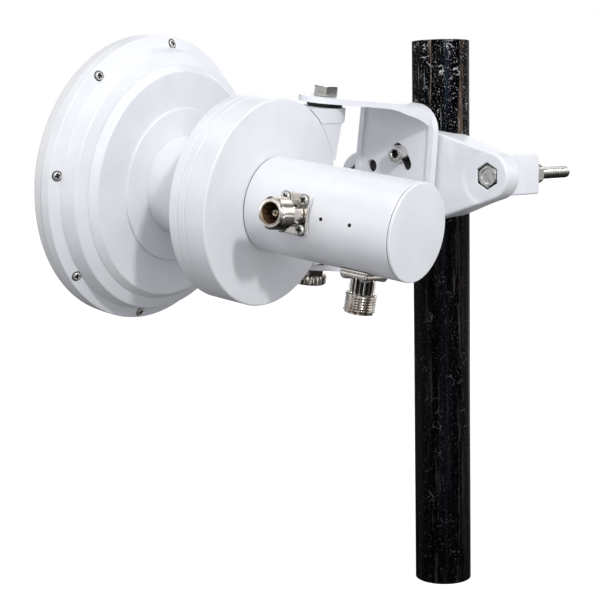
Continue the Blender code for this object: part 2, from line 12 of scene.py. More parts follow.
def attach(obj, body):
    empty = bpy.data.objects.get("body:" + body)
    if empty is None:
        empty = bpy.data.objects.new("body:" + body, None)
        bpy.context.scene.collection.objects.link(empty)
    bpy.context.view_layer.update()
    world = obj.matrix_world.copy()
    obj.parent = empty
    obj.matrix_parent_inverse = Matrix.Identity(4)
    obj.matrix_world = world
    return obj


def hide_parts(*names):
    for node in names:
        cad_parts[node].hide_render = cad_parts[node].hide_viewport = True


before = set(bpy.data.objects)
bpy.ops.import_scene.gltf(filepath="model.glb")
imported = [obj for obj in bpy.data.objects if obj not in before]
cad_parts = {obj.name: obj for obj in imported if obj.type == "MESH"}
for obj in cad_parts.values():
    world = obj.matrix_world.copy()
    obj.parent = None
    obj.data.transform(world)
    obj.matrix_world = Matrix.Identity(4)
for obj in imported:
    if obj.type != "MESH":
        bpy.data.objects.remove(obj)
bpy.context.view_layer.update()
scene = bpy.context.scene


# Stage: a pale seamless studio floor, an even white surround, a hard-edged lamp high to the right of
# the camera, a broad soft lamp higher up on its left and a weak one low at the side. Black and white
# cards stand round it all, which only the glossy reflections show, so that bright metal has contrast.
def linear(code):
    """Turns an sRGB hex colour into linear red, green, blue and alpha."""
    values = np.array([int(code[i:i + 2], 16) for i in (0, 2, 4)]) / 255.0
    bright = ((values + 0.055) / 1.055) ** 2.4
    return tuple(float(v) for v in np.where(values <= 0.04045, values / 12.92, bright)) + (1.0,)


def add(owner, kind, inputs=None, stops=None, **settings):
    """Adds one shader node. Settings are its properties, inputs its sockets by name or number, each a
    value or another node's output, and stops the places and colours along a ramp."""
    tree = owner.node_tree
    node = tree.nodes.new(kind)
    for name, value in settings.items():
        setattr(node, name, value)
    for name, value in (inputs or {}).items():
        if isinstance(value, bpy.types.NodeSocket):
            tree.links.new(value, node.inputs[name])
        else:
            node.inputs[name].default_value = value
    if stops:
        elements = node.color_ramp.elements
        while len(elements) < len(stops):
            elements.new(1.0)
        for element, (position, colour) in zip(elements, stops):
            element.position = position
            element.color = colour
    return node


def finish(name):
    """A new material and its main shader."""
    material = bpy.data.materials.new(name)
    material.use_nodes = True
    return material, material.node_tree.nodes["Principled BSDF"]


# The camera stands where the photograph was taken from, with its lens, as fitted to the outlines.
camera_data = bpy.data.cameras.new("camera")
camera_data.lens = 84.0
camera_data.sensor_width = 36.0
camera_data.clip_start = 0.01
camera = bpy.data.objects.new("camera", camera_data)
scene.collection.objects.link(camera)
camera_turn = Euler([math.radians(angle) for angle in (83.219, 0.992, 132.633)])
camera.matrix_world = Matrix.Translation((0.63277, 0.47556, 0.25611)) @ camera_turn.to_matrix().to_4x4()
scene.camera = camera
scene.view_settings.view_transform = "Standard"

floor_mesh = bpy.data.meshes.new("studio_floor")
floor_mesh.from_pydata([(-6, -6, 0), (6, -6, 0), (6, 6, 0), (-6, 6, 0)], [], [(0, 1, 2, 3)])
floor = bpy.data.objects.new("studio_floor", floor_mesh)
scene.collection.objects.link(floor)
matte, matte_shader = finish("white_floor_paper")
matte_shader.inputs["Base Color"].default_value = linear("8C8C8C")
matte_shader.inputs["Emission Color"].default_value = (1.0, 1.0, 1.0, 1.0)
matte_shader.inputs["Emission Strength"].default_value = 0.95
matte_shader.inputs["Roughness"].default_value = 0.9
floor_mesh.materials.append(matte)
floor.visible_diffuse = False
floor.visible_glossy = False

surround = bpy.data.worlds.new("studio_surround")
surround.use_nodes = True
scene.world = surround
surround.node_tree.nodes.clear()
heading = add(surround, "ShaderNodeTexCoord")
direction = add(surround, "ShaderNodeSeparateXYZ", {0: heading.outputs["Generated"]})
level = add(surround, "ShaderNodeMapRange", {
    "Value": direction.outputs["Z"], "From Min": -1.0, "From Max": 1.0})
sky = add(surround, "ShaderNodeValToRGB", {"Fac": level.outputs["Result"]}, stops=[
    (0.0, (0.0, 0.0, 0.0, 1.0)),
    (0.44, (0.57, 0.58, 0.60, 1.0)),
    (0.52, (0.20, 0.20, 0.21, 1.0)),
    (0.68, (0.80, 0.82, 0.86, 1.0)),
    (1.0, (0.22, 0.22, 0.23, 1.0))])
soft = add(surround, "ShaderNodeBackground", {"Color": sky.outputs["Color"], "Strength": 1.42})
plain = add(surround, "ShaderNodeBackground", {"Color": (1.0, 1.0, 1.0, 1.0), "Strength": 1.0})

# The cards: bright and dark rows from below to above, times bright and dark stretches all round.
bearing = add(surround, "ShaderNodeMath", {
    0: direction.outputs["Y"], 1: direction.outputs["X"]}, operation="ARCTAN2")
turn_share = add(surround, "ShaderNodeMapRange", {
    "Value": bearing.outputs[0], "From Min": -math.pi, "From Max": math.pi})
rows_of_cards = add(surround, "ShaderNodeValToRGB", {"Fac": level.outputs["Result"]}, stops=[
    (place, (tone, tone, tone, 1.0)) for place, tone in (
        (0.0, 0.01), (0.36, 0.08), (0.41, 0.8), (0.445, 0.7), (0.46, 0.02), (0.48, 0.03), (0.495, 0.45),
        (0.53, 0.5), (0.545, 0.9), (0.70, 0.9), (0.74, 0.04), (0.86, 0.06), (0.90, 1.0))])
ring_of_cards = add(surround, "ShaderNodeValToRGB", {"Fac": turn_share.outputs["Result"]}, stops=[
    (place, (tone, tone, tone, 1.0)) for place, tone in (
        (0.0, 1.0), (0.13, 1.0), (0.17, 0.10), (0.25, 0.12), (0.29, 1.0), (0.36, 0.9), (0.40, 0.6),
        (0.46, 0.6), (0.49, 0.06), (0.54, 0.08), (0.57, 1.0), (0.63, 0.9), (0.66, 0.06), (0.69, 0.08),
        (0.71, 1.0), (0.73, 0.9), (0.75, 0.12), (0.81, 0.15), (0.85, 1.0), (0.93, 0.9), (0.96, 0.2),
        (1.0, 1.0))])

# A colour Mix takes its share at socket 0 and its colours at 6 and 7, and gives the result at 2.
cards = add(surround, "ShaderNodeMix", {
    0: 1.0, 6: rows_of_cards.outputs["Color"], 7: ring_of_cards.outputs["Color"]},
    data_type="RGBA", blend_type="MULTIPLY")
mirrored = add(surround, "ShaderNodeBackground", {"Color": cards.outputs[2], "Strength": 1.9})
seen = add(surround, "ShaderNodeLightPath")
round_about = add(surround, "ShaderNodeMixShader", {
    0: seen.outputs["Is Glossy Ray"], 1: soft.outputs[0], 2: mirrored.outputs[0]})
either = add(surround, "ShaderNodeMixShader", {
    0: seen.outputs["Is Camera Ray"], 1: round_about.outputs[0], 2: plain.outputs[0]})
add(surround, "ShaderNodeOutputWorld", {"Surface": either.outputs[0]})


LAMPS_FACE = np.array((0.1, 0.0, 0.22))


def lamp(name, azimuth, elevation, distance, size, power):
    """A square lamp that faces the antenna from a direction in degrees: azimuth turns from +X towards
    +Y. Its distance and size are in metres, its power in watts."""
    data = bpy.data.lights.new(name, "AREA")
    data.shape = "SQUARE"
    data.size = size
    data.energy = power
    item = bpy.data.objects.new(name, data)
    scene.collection.objects.link(item)
    turn, rise = math.radians(azimuth), math.radians(elevation)
    away = np.array((math.cos(turn) * math.cos(rise), math.sin(turn) * math.cos(rise), math.sin(rise)))
    facing = Matrix.Rotation(turn + math.pi / 2, 4, "Z") @ Matrix.Rotation(math.pi / 2 - rise, 4, "X")
    item.matrix_world = Matrix.Translation(away * distance + LAMPS_FACE) @ facing


lamp("hard_lamp", 66.0, 31.0, 1.7, 0.12, 13.0)
lamp("broad_lamp", 30.0, 55.0, 1.7, 1.0, 2.2)
lamp("fill_lamp", 2.0, 24.0, 1.6, 1.1, 2.2)


# Pole: a 32 mm steel tube in black stove enamel that has been used and carried about for years: dull
# scuffs, white scratches down to the primer, and brown rust that has run down its length, beside a
# dark blue band of painted reflection and a pale line of painted highlight. It and the bracket are
# drawn small and enlarged by their holder's scale, as in the CAD.
BRACKET_SCALE = 1.094
HOLDER = Matrix.Scale(BRACKET_SCALE, 4)
POLE_RADIUS = 14.5
POLE_BORE = 12.5
POLE_LENGTH = 279.5
POLE_EDGE = 0.4
ARC_STEPS = 6
MILLIMETRE = 0.001
WELD = 0.0000005


def softened(corners, radii, closed=False):
    """Rounds the corners of a flat line: each corner with a radius becomes an arc that is tangent to
    both of its sides, with one more point just beyond each end, so that flat faces stay flat."""
    corners = [np.array(corner, float) for corner in corners]
    count = len(corners)
    line = []
    for i, here in enumerate(corners):
        radius = radii[i]
        if radius == 0 or (not closed and i in (0, count - 1)):
            line.append(here)
            continue
        back, ahead = corners[i - 1] - here, corners[(i + 1) % count] - here
        back_length, ahead_length = np.hypot(*back), np.hypot(*ahead)
        back, ahead = back / back_length, ahead / ahead_length
        half = math.acos(max(-1.0, min(1.0, float(back @ ahead)))) / 2
        reach = min(radius / math.tan(half), 0.46 * min(back_length, ahead_length))
        radius = reach * math.tan(half)
        middle = (back + ahead) / np.hypot(*(back + ahead))
        centre = here + middle * radius / math.sin(half)
        start, end = here + back * reach - centre, here + ahead * reach - centre
        first = math.atan2(start[1], start[0])
        sweep = (math.atan2(end[1], end[0]) - first + math.pi) % (2 * math.pi) - math.pi
        spare = 0.25 if min(back_length, ahead_length) - 2 * reach > 0.8 else 0.0
        if spare:
            line.append(here + back * (reach + spare))
        for step in range(ARC_STEPS + 1):
            angle = first + sweep * step / ARC_STEPS
            line.append(centre + radius * np.array((math.cos(angle), math.sin(angle))))
        if spare:
            line.append(here + ahead * (reach + spare))
    return np.array(line)


def whole_turn(count):
    """Evenly spaced angles over a whole turn."""
    return np.arange(count) * (2 * np.pi / count)


def turned(profile, steps):
    """A profile of (radius, z) turned about z: x is the radius times the cosine, y times the sine."""
    profile = np.asarray(profile, float)
    angle = whole_turn(steps)
    radius, height = profile[:, :1], profile[:, 1:]
    return np.stack((radius * np.cos(angle), radius * np.sin(angle), height + 0 * angle), axis=-1)


def skin(grid, closed=False, caps=False, mark=0):
    """The faces of a grid of points (rows, columns, 3): the last column joins the first, the last row
    joins the first where closed, and caps fill the first and last rows with a flat face each."""
    rows, columns = grid.shape[:2]
    index = np.arange(rows * columns).reshape(rows, columns)
    ring = np.hstack((index, index[:, :1]))
    if closed:
        ring = np.vstack((ring, ring[:1]))
    cells = np.stack((ring[:-1, :-1], ring[:-1, 1:], ring[1:, 1:], ring[1:, :-1]), axis=-1).reshape(-1, 4)
    ends = [index[0], index[-1]] if caps else []
    return grid.reshape(-1, 3), cells, ends, mark


def build(name, skins, place, body, finishes, nodes=(), sharp=40.0):
    """Joins skins, in millimetres, into one closed mesh at its place and hangs it on its body. A face's
    mark is the number of its finish, and edges sharper than the angle stay crisp."""
    starts = np.cumsum([0] + [len(part[0]) for part in skins])
    points = np.concatenate([part[0] for part in skins])
    faces, marks = [], []
    for start, (_, cells, ends, mark) in zip(starts, skins):
        faces += (cells + start).tolist() + [(end + start).tolist() for end in ends]
        marks += np.broadcast_to(mark, len(cells)).tolist() + [0] * len(ends)
    matrix = np.array(place)
    points = (points @ matrix[:3, :3].T + matrix[:3, 3]) * MILLIMETRE
    mesh = bpy.data.meshes.new(name)
    mesh.from_pydata(points.tolist(), [], faces)
    mesh.polygons.foreach_set("material_index", marks)
    for material in finishes:
        mesh.materials.append(material)
    work = bmesh.new()
    work.from_mesh(mesh)
    bmesh.ops.remove_doubles(work, verts=work.verts, dist=WELD)
    bmesh.ops.recalc_face_normals(work, faces=work.faces)
    work.to_mesh(mesh)
    work.free()
    mesh.shade_smooth()
    mesh.set_sharp_from_angle(angle=math.radians(sharp))
    item = bpy.data.objects.new(name, mesh)
    scene.collection.objects.link(item)
    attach(item, body)
    if nodes:
        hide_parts(*nodes)


# Stove enamel on steel, weathered dull: a deep black with a faint blue cast, broken by cracks, hair
# scratches and chips down to the pale primer, most of them near the top, and by runs that follow the
# tube, among them a blue band of painted reflection and a pale line of painted highlight. A noise scale
# of 1000 has grains about 1 mm across: the runs are 3 mm wide and the chips 0.8 mm.
enamel, shader = finish("worn_black_stove_enamel")
where = add(enamel, "ShaderNodeTexCoord").outputs["Object"]
long_way = add(enamel, "ShaderNodeMapping", {"Vector": where, "Scale": (1.0, 1.0, 0.045)}).outputs["Vector"]
runs = add(enamel, "ShaderNodeTexNoise", {
    "Vector": long_way, "Scale": 300.0, "Detail": 4.0, "Roughness": 0.65})
tone = add(enamel, "ShaderNodeValToRGB", {"Fac": runs.outputs["Fac"]}, stops=[
    (0.0, linear("000000")), (0.46, linear("020203")), (0.56, linear("050609")), (0.66, linear("100F10")),
    (0.76, linear("3A2E27")), (0.84, linear("76604F"))])
bent = add(enamel, "ShaderNodeTexNoise", {"Vector": where, "Scale": 130.0, "Detail": 3.0})
wander = add(enamel, "ShaderNodeVectorMath", {
    0: bent.outputs["Color"], 1: (0.012, 0.012, 0.012), 2: where}, operation="MULTIPLY_ADD")
cells = add(enamel, "ShaderNodeTexVoronoi", {
    "Vector": wander.outputs[0], "Scale": 135.0}, feature="DISTANCE_TO_EDGE")
line = add(enamel, "ShaderNodeMapRange", {
    "Value": cells.outputs["Distance"], "From Min": 0.010, "From Max": 0.028, "To Min": 1.0, "To Max": 0.0})
patch = add(enamel, "ShaderNodeTexNoise", {"Vector": where, "Scale": 170.0, "Detail": 3.0})
gate = add(enamel, "ShaderNodeMapRange", {
    "Value": patch.outputs["Fac"], "From Min": 0.575, "From Max": 0.635})
scratch = add(enamel, "ShaderNodeMath", {0: line.outputs[0], 1: gate.outputs[0]}, operation="MULTIPLY")
ways = add(enamel, "ShaderNodeSeparateXYZ", {0: where})
top_wear = add(enamel, "ShaderNodeMapRange", {
    "Value": ways.outputs["Z"], "From Min": 0.205, "From Max": 0.25, "To Min": 0.10, "To Max": 0.95})
hair_way = add(enamel, "ShaderNodeMapping", {"Vector": where, "Scale": (1.0, 1.0, 0.03)}).outputs["Vector"]
hair = add(enamel, "ShaderNodeTexNoise", {"Vector": hair_way, "Scale": 1100.0, "Detail": 2.0})
hairs = add(enamel, "ShaderNodeMapRange", {
    "Value": hair.outputs["Fac"], "From Min": 0.66, "From Max": 0.74, "To Max": 0.55})
grit = add(enamel, "ShaderNodeTexNoise", {
    "Vector": where, "Scale": 1300.0, "Detail": 3.0, "Roughness": 0.7})
chips = add(enamel, "ShaderNodeMapRange", {
    "Value": grit.outputs["Fac"], "From Min": 0.625, "From Max": 0.66})
worn = add(enamel, "ShaderNodeMath", {0: scratch.outputs[0], 1: hairs.outputs[0]}, operation="MAXIMUM")
worn = add(enamel, "ShaderNodeMath", {0: worn.outputs[0], 1: chips.outputs[0]}, operation="MAXIMUM")
worn = add(enamel, "ShaderNodeMath", {0: worn.outputs[0], 1: top_wear.outputs[0]}, operation="MULTIPLY")
turn = add(enamel, "ShaderNodeMath", {0: ways.outputs["Y"], 1: ways.outputs["X"]}, operation="ARCTAN2")
swerve = add(enamel, "ShaderNodeTexNoise", {"Vector": where, "Scale": 70.0, "Detail": 4.0})
turn = add(enamel, "ShaderNodeMath", {
    0: swerve.outputs["Fac"], 1: 0.5, 2: turn.outputs[0]}, operation="MULTIPLY_ADD")
# Breaks along the runs, thinned towards the bottom: they cut up the rust runs and also the painted
# reflection and painted highlight bands below.
breaks = add(enamel, "ShaderNodeMapRange", {
    "Value": runs.outputs["Fac"], "From Min": 0.47, "From Max": 0.60})
rust_and_painted_light_mask = add(enamel, "ShaderNodeMath", {0: breaks.outputs[0], 1: top_wear.outputs[0]}, operation="MULTIPLY")

# Four long marks down the tube: a dark blue band of painted reflection, a pale line of painted
# highlight and two brown rust runs. For each: where it lies round the tube and its half width, both in
# radians, and its colour.
base = tone.outputs["Color"]
for place, width, mark in (
        (1.0, 0.35, "161E2A"), (1.49, 0.05, "8E9094"), (0.61, 0.20, "8C7C70"), (1.66, 0.16, "66554A")):
    off = add(enamel, "ShaderNodeMath", {0: turn.outputs[0], 1: place}, operation="SUBTRACT")
    off = add(enamel, "ShaderNodeMath", {0: off.outputs[0]}, operation="ABSOLUTE")
    near = add(enamel, "ShaderNodeMapRange", {
        "Value": off.outputs[0], "From Min": 0.3 * width, "From Max": width, "To Min": 1.0, "To Max": 0.0})
    broken = add(enamel, "ShaderNodeMath", {0: near.outputs[0], 1: rust_and_painted_light_mask.outputs[0]}, operation="MULTIPLY")
    base = add(enamel, "ShaderNodeMix", {
        0: broken.outputs[0], 6: base, 7: linear(mark)}, data_type="RGBA").outputs[2]
colour = add(enamel, "ShaderNodeMix", {0: worn.outputs[0], 6: base, 7: linear("C4C5C6")}, data_type="RGBA")
shader.inputs["Specular IOR Level"].default_value = 0.03
dull = add(enamel, "ShaderNodeMapRange", {
    "Value": runs.outputs["Fac"], "From Min": 0.35, "From Max": 0.7, "To Min": 0.2, "To Max": 0.55})
relief = add(enamel, "ShaderNodeBump", {"Height": worn.outputs[0], "Strength": 0.35, "Distance": 0.0002})
enamel.node_tree.links.new(colour.outputs[2], shader.inputs["Base Color"])
enamel.node_tree.links.new(dull.outputs[0], shader.inputs["Roughness"])
enamel.node_tree.links.new(relief.outputs[0], shader.inputs["Normal"])

tube = softened(
    [(POLE_BORE, 0.0), (POLE_RADIUS, 0.0), (POLE_RADIUS, POLE_LENGTH), (POLE_BORE, POLE_LENGTH)],
    [POLE_EDGE] * 4, closed=True)
build(
    "pole_enamelled_tube", [skin(turned(tube, 128), closed=True)], HOLDER, "clamp", [enamel],
    ["pole_tube"])


# Pole plugs: black nylon discs pressed into both ends, dull, with a moulded grain of about 0.7 mm.
def mottled(name, noise, colours, metallic=0.0, roughness=0.5, bump=0.0):
    """A material whose colour follows one noise along a ramp of hex colours. Its roughness is a single
    value, or two that the noise runs between, and bump is how strongly the noise stands out."""
    material, shader = finish(name)
    where = add(material, "ShaderNodeTexCoord").outputs["Object"]
    cloud = add(material, "ShaderNodeTexNoise", {"Vector": where, **noise}).outputs["Fac"]
    stops = [(place, linear(colour)) for place, colour in colours]
    tone = add(material, "ShaderNodeValToRGB", {"Fac": cloud}, stops=stops)
    material.node_tree.links.new(tone.outputs["Color"], shader.inputs["Base Color"])
    shader.inputs["Metallic"].default_value = metallic
    if isinstance(roughness, tuple):
        low, high = roughness
        sheen = add(material, "ShaderNodeMapRange", {
            "Value": cloud, "From Min": 0.3, "From Max": 0.7, "To Min": low, "To Max": high})
        material.node_tree.links.new(sheen.outputs[0], shader.inputs["Roughness"])
    else:
        shader.inputs["Roughness"].default_value = roughness
    if bump:
        relief = add(material, "ShaderNodeBump", {"Height": cloud, "Strength": bump, "Distance": 0.0001})
        material.node_tree.links.new(relief.outputs[0], shader.inputs["Normal"])
    return material


nylon = mottled(
    "moulded_black_nylon", {"Scale": 1500.0, "Detail": 3.0}, [(0.3, "060606"), (0.7, "101011")], bump=0.3)
for plug in ("pole_foot_plug", "pole_top_plug"):
    for material_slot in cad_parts[plug].material_slots:
        material_slot.material = nylon


# Clamp casting: a sand-cast aluminium lozenge in white powder coat. Its face has a shallow round seat
# about each bolt, with a hexagonal recess that keeps the bolt head from turning, and a soft pad at each
# side of the pole. X is measured forwards from the pole's axis, Y along the lozenge and Z up.
CLAMP_HEIGHT = 212.0
FACE = 18.1
REACH = 40.7
TIP = 11.9
WAIST = 23.8
FLANK_SLOPE = (WAIST - TIP) / REACH
EDGE = 1.5
SEAT_RADIUS = 14.3
SEAT_SLOPE = 1.3
SEAT_DEPTH = 0.4
PAD_Y = 18.5
PAD_Z = 9.0
PAD_HALF_WIDTH = 2.2
PAD_HALF_HEIGHT = 6.0
PAD_RISE = 0.45
POCKET_FLOOR = 12.8
POCKET = 6.7
POCKET_CHAMFER = 0.35
BOLT_HOLE = 3.3
BORE = 14.8
BACK = 0.5
BACK_FLAT_END = 18.0
BACK_SLOPE = 20.0
TIP_BACK = 7.4

# Polyester powder over aluminium or steel: a satin cool white whose surface is very slightly uneven,
# like orange peel 1 to 2 mm across, with a few specks of dust baked in.
powder, shader = finish("white_powder_coat")
where = add(powder, "ShaderNodeTexCoord").outputs["Object"]
cloud = add(powder, "ShaderNodeTexNoise", {"Vector": where, "Scale": 45.0, "Detail": 3.0})
tone = add(powder, "ShaderNodeValToRGB", {"Fac": cloud.outputs["Fac"]}, stops=[
    (0.3, linear("E6E7EB")), (0.7, linear("EEEFF2"))])
dust = add(powder, "ShaderNodeTexNoise", {"Vector": where, "Scale": 1300.0, "Detail": 2.0})
specks = add(powder, "ShaderNodeMapRange", {
    "Value": dust.outputs["Fac"], "From Min": 0.74, "From Max": 0.80, "To Max": 0.5})
colour = add(powder, "ShaderNodeMix", {
    0: specks.outputs[0], 6: tone.outputs["Color"], 7: linear("9A9B9D")}, data_type="RGBA")
sheen = add(powder, "ShaderNodeMapRange", {"Value": cloud.outputs["Fac"], "To Min": 0.26, "To Max": 0.38})
peel = add(powder, "ShaderNodeTexNoise", {"Vector": where, "Scale": 620.0, "Detail": 2.0})
relief = add(powder, "ShaderNodeBump", {
    "Height": peel.outputs["Fac"], "Strength": 0.10, "Distance": 0.0002})
powder.node_tree.links.new(colour.outputs[2], shader.inputs["Base Color"])
powder.node_tree.links.new(sheen.outputs[0], shader.inputs["Roughness"])
powder.node_tree.links.new(relief.outputs[0], shader.inputs["Normal"])


def depth_from_outline(y, z):
    """How far inside the lozenge's outline a point is: the outline is the hull of a wide circle in the
    middle and a narrow one at each end, so the nearest of the circle, the flank and the end counts."""
    flank = math.sqrt(1 - FLANK_SLOPE ** 2)
    y, z = np.abs(y), np.abs(z)
    along = flank * y - FLANK_SLOPE * z
    middle = WAIST - np.hypot(y, z)
    side = WAIST - flank * z - FLANK_SLOPE * y
    end = TIP - np.hypot(y - REACH, z)
    return np.where(along < 0, middle, np.where(along > flank * REACH, end, side))


def casting_front(y, z):
    """Height of the casting's face: flat, less a quarter circle along the outline, less a smooth step
    into the seat round each bolt, plus a bell-shaped pad at each side of the pole."""
    inside = np.clip(depth_from_outline(y, z), 0.0, EDGE)
    height = FACE - EDGE + np.sqrt(np.maximum(0.0, EDGE ** 2 - (EDGE - inside) ** 2))
    away = np.hypot(np.abs(y) - REACH, z)
    seat = np.clip((SEAT_RADIUS - away) / SEAT_SLOPE, 0.0, 1.0)
    pad = np.exp(-((np.abs(y) - PAD_Y) / PAD_HALF_WIDTH) ** 2 - ((z - PAD_Z) / PAD_HALF_HEIGHT) ** 2)
    return height - SEAT_DEPTH * seat ** 2 * (3 - 2 * seat) + PAD_RISE * pad


def casting_back(y):
    """Depth of the casting's back: the pole's bore in the middle, then a flat, then a slope up to the
    thinner ends."""
    side = np.abs(y)
    bore = np.sqrt(np.maximum(0.0, BORE ** 2 - side ** 2))
    rise = np.clip((side - BACK_FLAT_END) / BACK_SLOPE, 0.0, 1.0)
    return np.maximum(bore, BACK + (TIP_BACK - BACK) * rise)


def hexagon(angle, radius, turn):
    """Distance from a hexagon's centre to its side: the apothem over the cosine of the angle from the
    nearest flat's middle. A corner lies at the turn."""
    return radius * math.cos(math.pi / 6) / np.cos((angle - turn) % (math.pi / 3) - math.pi / 6)


# Half of the outline: the arc of one end, the flank and the middle's arc, then the line through the
# middle, and the same below.
flank_angle = math.pi / 2 - math.asin(FLANK_SLOPE)
bend = np.linspace(0, flank_angle, 34)
end_arc = np.stack((REACH + TIP * np.cos(bend), TIP * np.sin(bend)), 1)
bend = np.linspace(flank_angle, math.pi / 2, 8)
waist_arc = np.stack((WAIST * np.cos(bend), WAIST * np.sin(bend)), 1)
share = np.linspace(0, 1, 24)[1:-1, None]
flank_line = end_arc[-1] + (waist_arc[0] - end_arc[-1]) * share
middle_line = np.stack((np.zeros(46), np.linspace(WAIST, 0, 46)), 1)[1:]
quarter = np.concatenate((end_arc, flank_line, waist_arc, middle_line))
half_outline = np.concatenate((quarter, (quarter * (1, -1))[-2:0:-1]))

# A ray runs from the bolt's axis to each point of the outline. Along it the surface crosses the floor
# and side of the recess, the face and its rounded edge, and comes back underneath to the bolt's hole.
ray = half_outline - (REACH, 0.0)
length = np.hypot(ray[:, 0], ray[:, 1])
ray = ray / length[:, None]
pocket = hexagon(np.arctan2(ray[:, 1], ray[:, 0]), POCKET, math.pi / 2)
floor_reach = np.stack((BOLT_HOLE + 0 * length, pocket, pocket))
flat_start = pocket + POCKET_CHAMFER
flat_end = length - EDGE
front_reach = flat_start + (flat_end - flat_start) * np.linspace(0, 1, 34)[:, None] ** 1.15
edge_reach = flat_end + EDGE * np.sin(np.linspace(0, math.pi / 2, 9))[1:, None]
back_reach = length + (BOLT_HOLE - length) * np.linspace(0, 1, 44)[:, None]
reach_rows = np.concatenate((floor_reach, front_reach, edge_reach, back_reach))
y_rows = REACH + reach_rows * ray[:, 0]
z_rows = reach_rows * ray[:, 1]
y_rows[np.abs(y_rows) < 0.0001] = 0.0
front_rows = 3 + len(front_reach) + len(edge_reach)
x_rows = casting_front(y_rows, z_rows)
x_rows[:2] = POCKET_FLOOR
x_rows[2] -= POCKET_CHAMFER
x_rows[front_rows:] = casting_back(y_rows[front_rows:])
half = np.stack((x_rows, y_rows, z_rows), axis=-1)
points, cells, _, _ = skin(half, closed=True)
on_middle = np.abs(points[cells][:, :, 1]).max(axis=1) < 0.0001
cells = cells[~on_middle]
halves = [(points, cells, [], 0), (points * (1, -1, 1), cells[:, ::-1], [], 0)]
CLAMP = HOLDER @ Matrix.Translation((0.0, 0.0, CLAMP_HEIGHT))
build("clamp_cast_arm", halves, CLAMP, "clamp", [powder], ["clamp_arm"], sharp=35.0)

# Clamp jaw: the cast back half, a plain bar with chamfered ends and a half-round seat for the pole.
JAW_HALF_HEIGHT = 9.9


def plate(outline, low, high, edge):
    """A flat outline given thickness: its side is a quarter circle, a straight and a quarter circle,
    carried round the outline, and two flat faces close it."""
    ahead, behind = np.roll(outline, -1, 0), np.roll(outline, 1, 0)
    area = float(np.sum(outline[:, 0] * ahead[:, 1] - outline[:, 1] * ahead[:, 0]))
    way = (ahead - behind) * (1.0 if area > 0 else -1.0)
    way = way / np.hypot(way[:, 0], way[:, 1])[:, None]
    out = np.stack((way[:, 1], -way[:, 0]), 1)
    bend = np.linspace(0, np.pi / 2, 6)
    inset = np.concatenate(
        ([edge + 0.3], edge * (1 - np.sin(bend)), edge * (1 - np.sin(bend[::-1])), [edge + 0.3]))
    level = np.concatenate(
        ([low], low + edge * (1 - np.cos(bend)), high - edge * (1 - np.cos(bend[::-1])), [high]))
    flat = outline[None] - out[None] * inset[:, None, None]
    return np.concatenate((flat, np.broadcast_to(level[:, None, None], flat.shape[:2] + (1,))), axis=-1)


start = math.asin(0.3 / BORE)
bend = np.linspace(-math.pi / 2 - start, -1.5 * math.pi + start, 40)
seat_arc = np.stack((BORE * np.cos(bend), BORE * np.sin(bend)), 1)
side = [(-18.0, -47.7), (-6.0, -47.7), (6.6, -45.5), (6.6, -38.0), (-0.3, -18.0)]
first = softened([(-18.0, 0.0)] + side + [tuple(seat_arc[0])], [0, 1.2, 0.8, 0.8, 0.8, 1.0, 0])
jaw = np.concatenate((first[1:], seat_arc[1:-1], (first[1:] * (1, -1))[::-1]))
build(
    "clamp_cast_jaw", [skin(plate(jaw, -JAW_HALF_HEIGHT, JAW_HALF_HEIGHT, 1.0), caps=True)], CLAMP, "clamp",
    [powder], ["clamp_jaw"])

# Clamp bolts: bright zinc-plated M6 with hexagon heads sunk in the recesses, with a black ring in the
# gap round each head that paints the shade there. Washers and nuts draw the jaw up behind, and the rest
# of the threaded shank stands out at the back. The plating is a satin silver, clouded warm and cool in
# patches of 2 to 3 mm.
zinc = mottled(
    "bright_zinc_plated_steel", {"Scale": 380.0, "Detail": 4.0, "Roughness": 0.6},
    [(0.28, "A5A199"), (0.46, "CFCDC8"), (0.72, "E6E5E2")], metallic=1.0, roughness=(0.32, 0.17), bump=0.15)
STAND = Matrix.Rotation(math.pi / 2, 4, "Y")
HEAD_RADIUS = 5.75
HEAD_TOP = 17.1
HEAD_BASE = 13.1
STUD_END = -53.4
NUT_RADIUS = 6.4
NUT_LOW = -24.4
NUT_HIGH = -19.4
M6_RADIUS = 3.0
M6_PITCH = 1.0
M6_DEPTH = 0.42


def ring_grid(rows, angle):
    """Rings about z. Each has a radius and a height, either of them one value or a value per angle."""
    one = 1 + 0 * angle
    return np.stack([np.stack((r * np.cos(angle), r * np.sin(angle), z * one), -1) for r, z in rows])


def hex_head(radius, low, high, turn, dish=0.0, lower_too=False, trim=0.94):
    """A hexagon bolt head: its side follows the hexagon, and a 30 degree cone trims the corners of its
    top, and of its underside for a nut. Trim is the share of the way to a flat that stays level, and a
    dish sinks the middle of the top."""
    angle = whole_turn(96)
    side = hexagon(angle, radius, turn)
    flat = radius * math.cos(math.pi / 6) * trim
    drop = (side - flat) * math.tan(math.radians(30))
    rise = drop if lower_too else 0.0
    return ring_grid([
        (0.0, high - dish), (0.72 * flat, high - dish), (0.80 * flat, high), (flat, high),
        (side, high - drop), (side, low + rise), (flat, low), (0.0, low)], angle)


def screw_thread(radius, pitch, low, high, depth, chamfer=0.8):
    """A threaded rod: the radius falls by a triangle wave of the height over the pitch less the turn,
    so that the groove climbs one pitch a turn, and both ends are chamfered."""
    angle = whole_turn(48)
    height = np.linspace(low, high, int((high - low) / pitch * 8) + 1)[:, None]
    wave = np.abs((height / pitch - angle / (2 * np.pi)) % 1.0 - 0.5) * 2
    near = np.minimum(height - low, high - height)
    r = np.minimum(radius - depth * wave, radius - chamfer + near)
    grid = np.stack((r * np.cos(angle), r * np.sin(angle), height + 0 * angle), -1)
    first, last = grid[:1].copy(), grid[-1:].copy()
    first[..., :2] = 0
    last[..., :2] = 0
    return np.concatenate((first, grid, last))


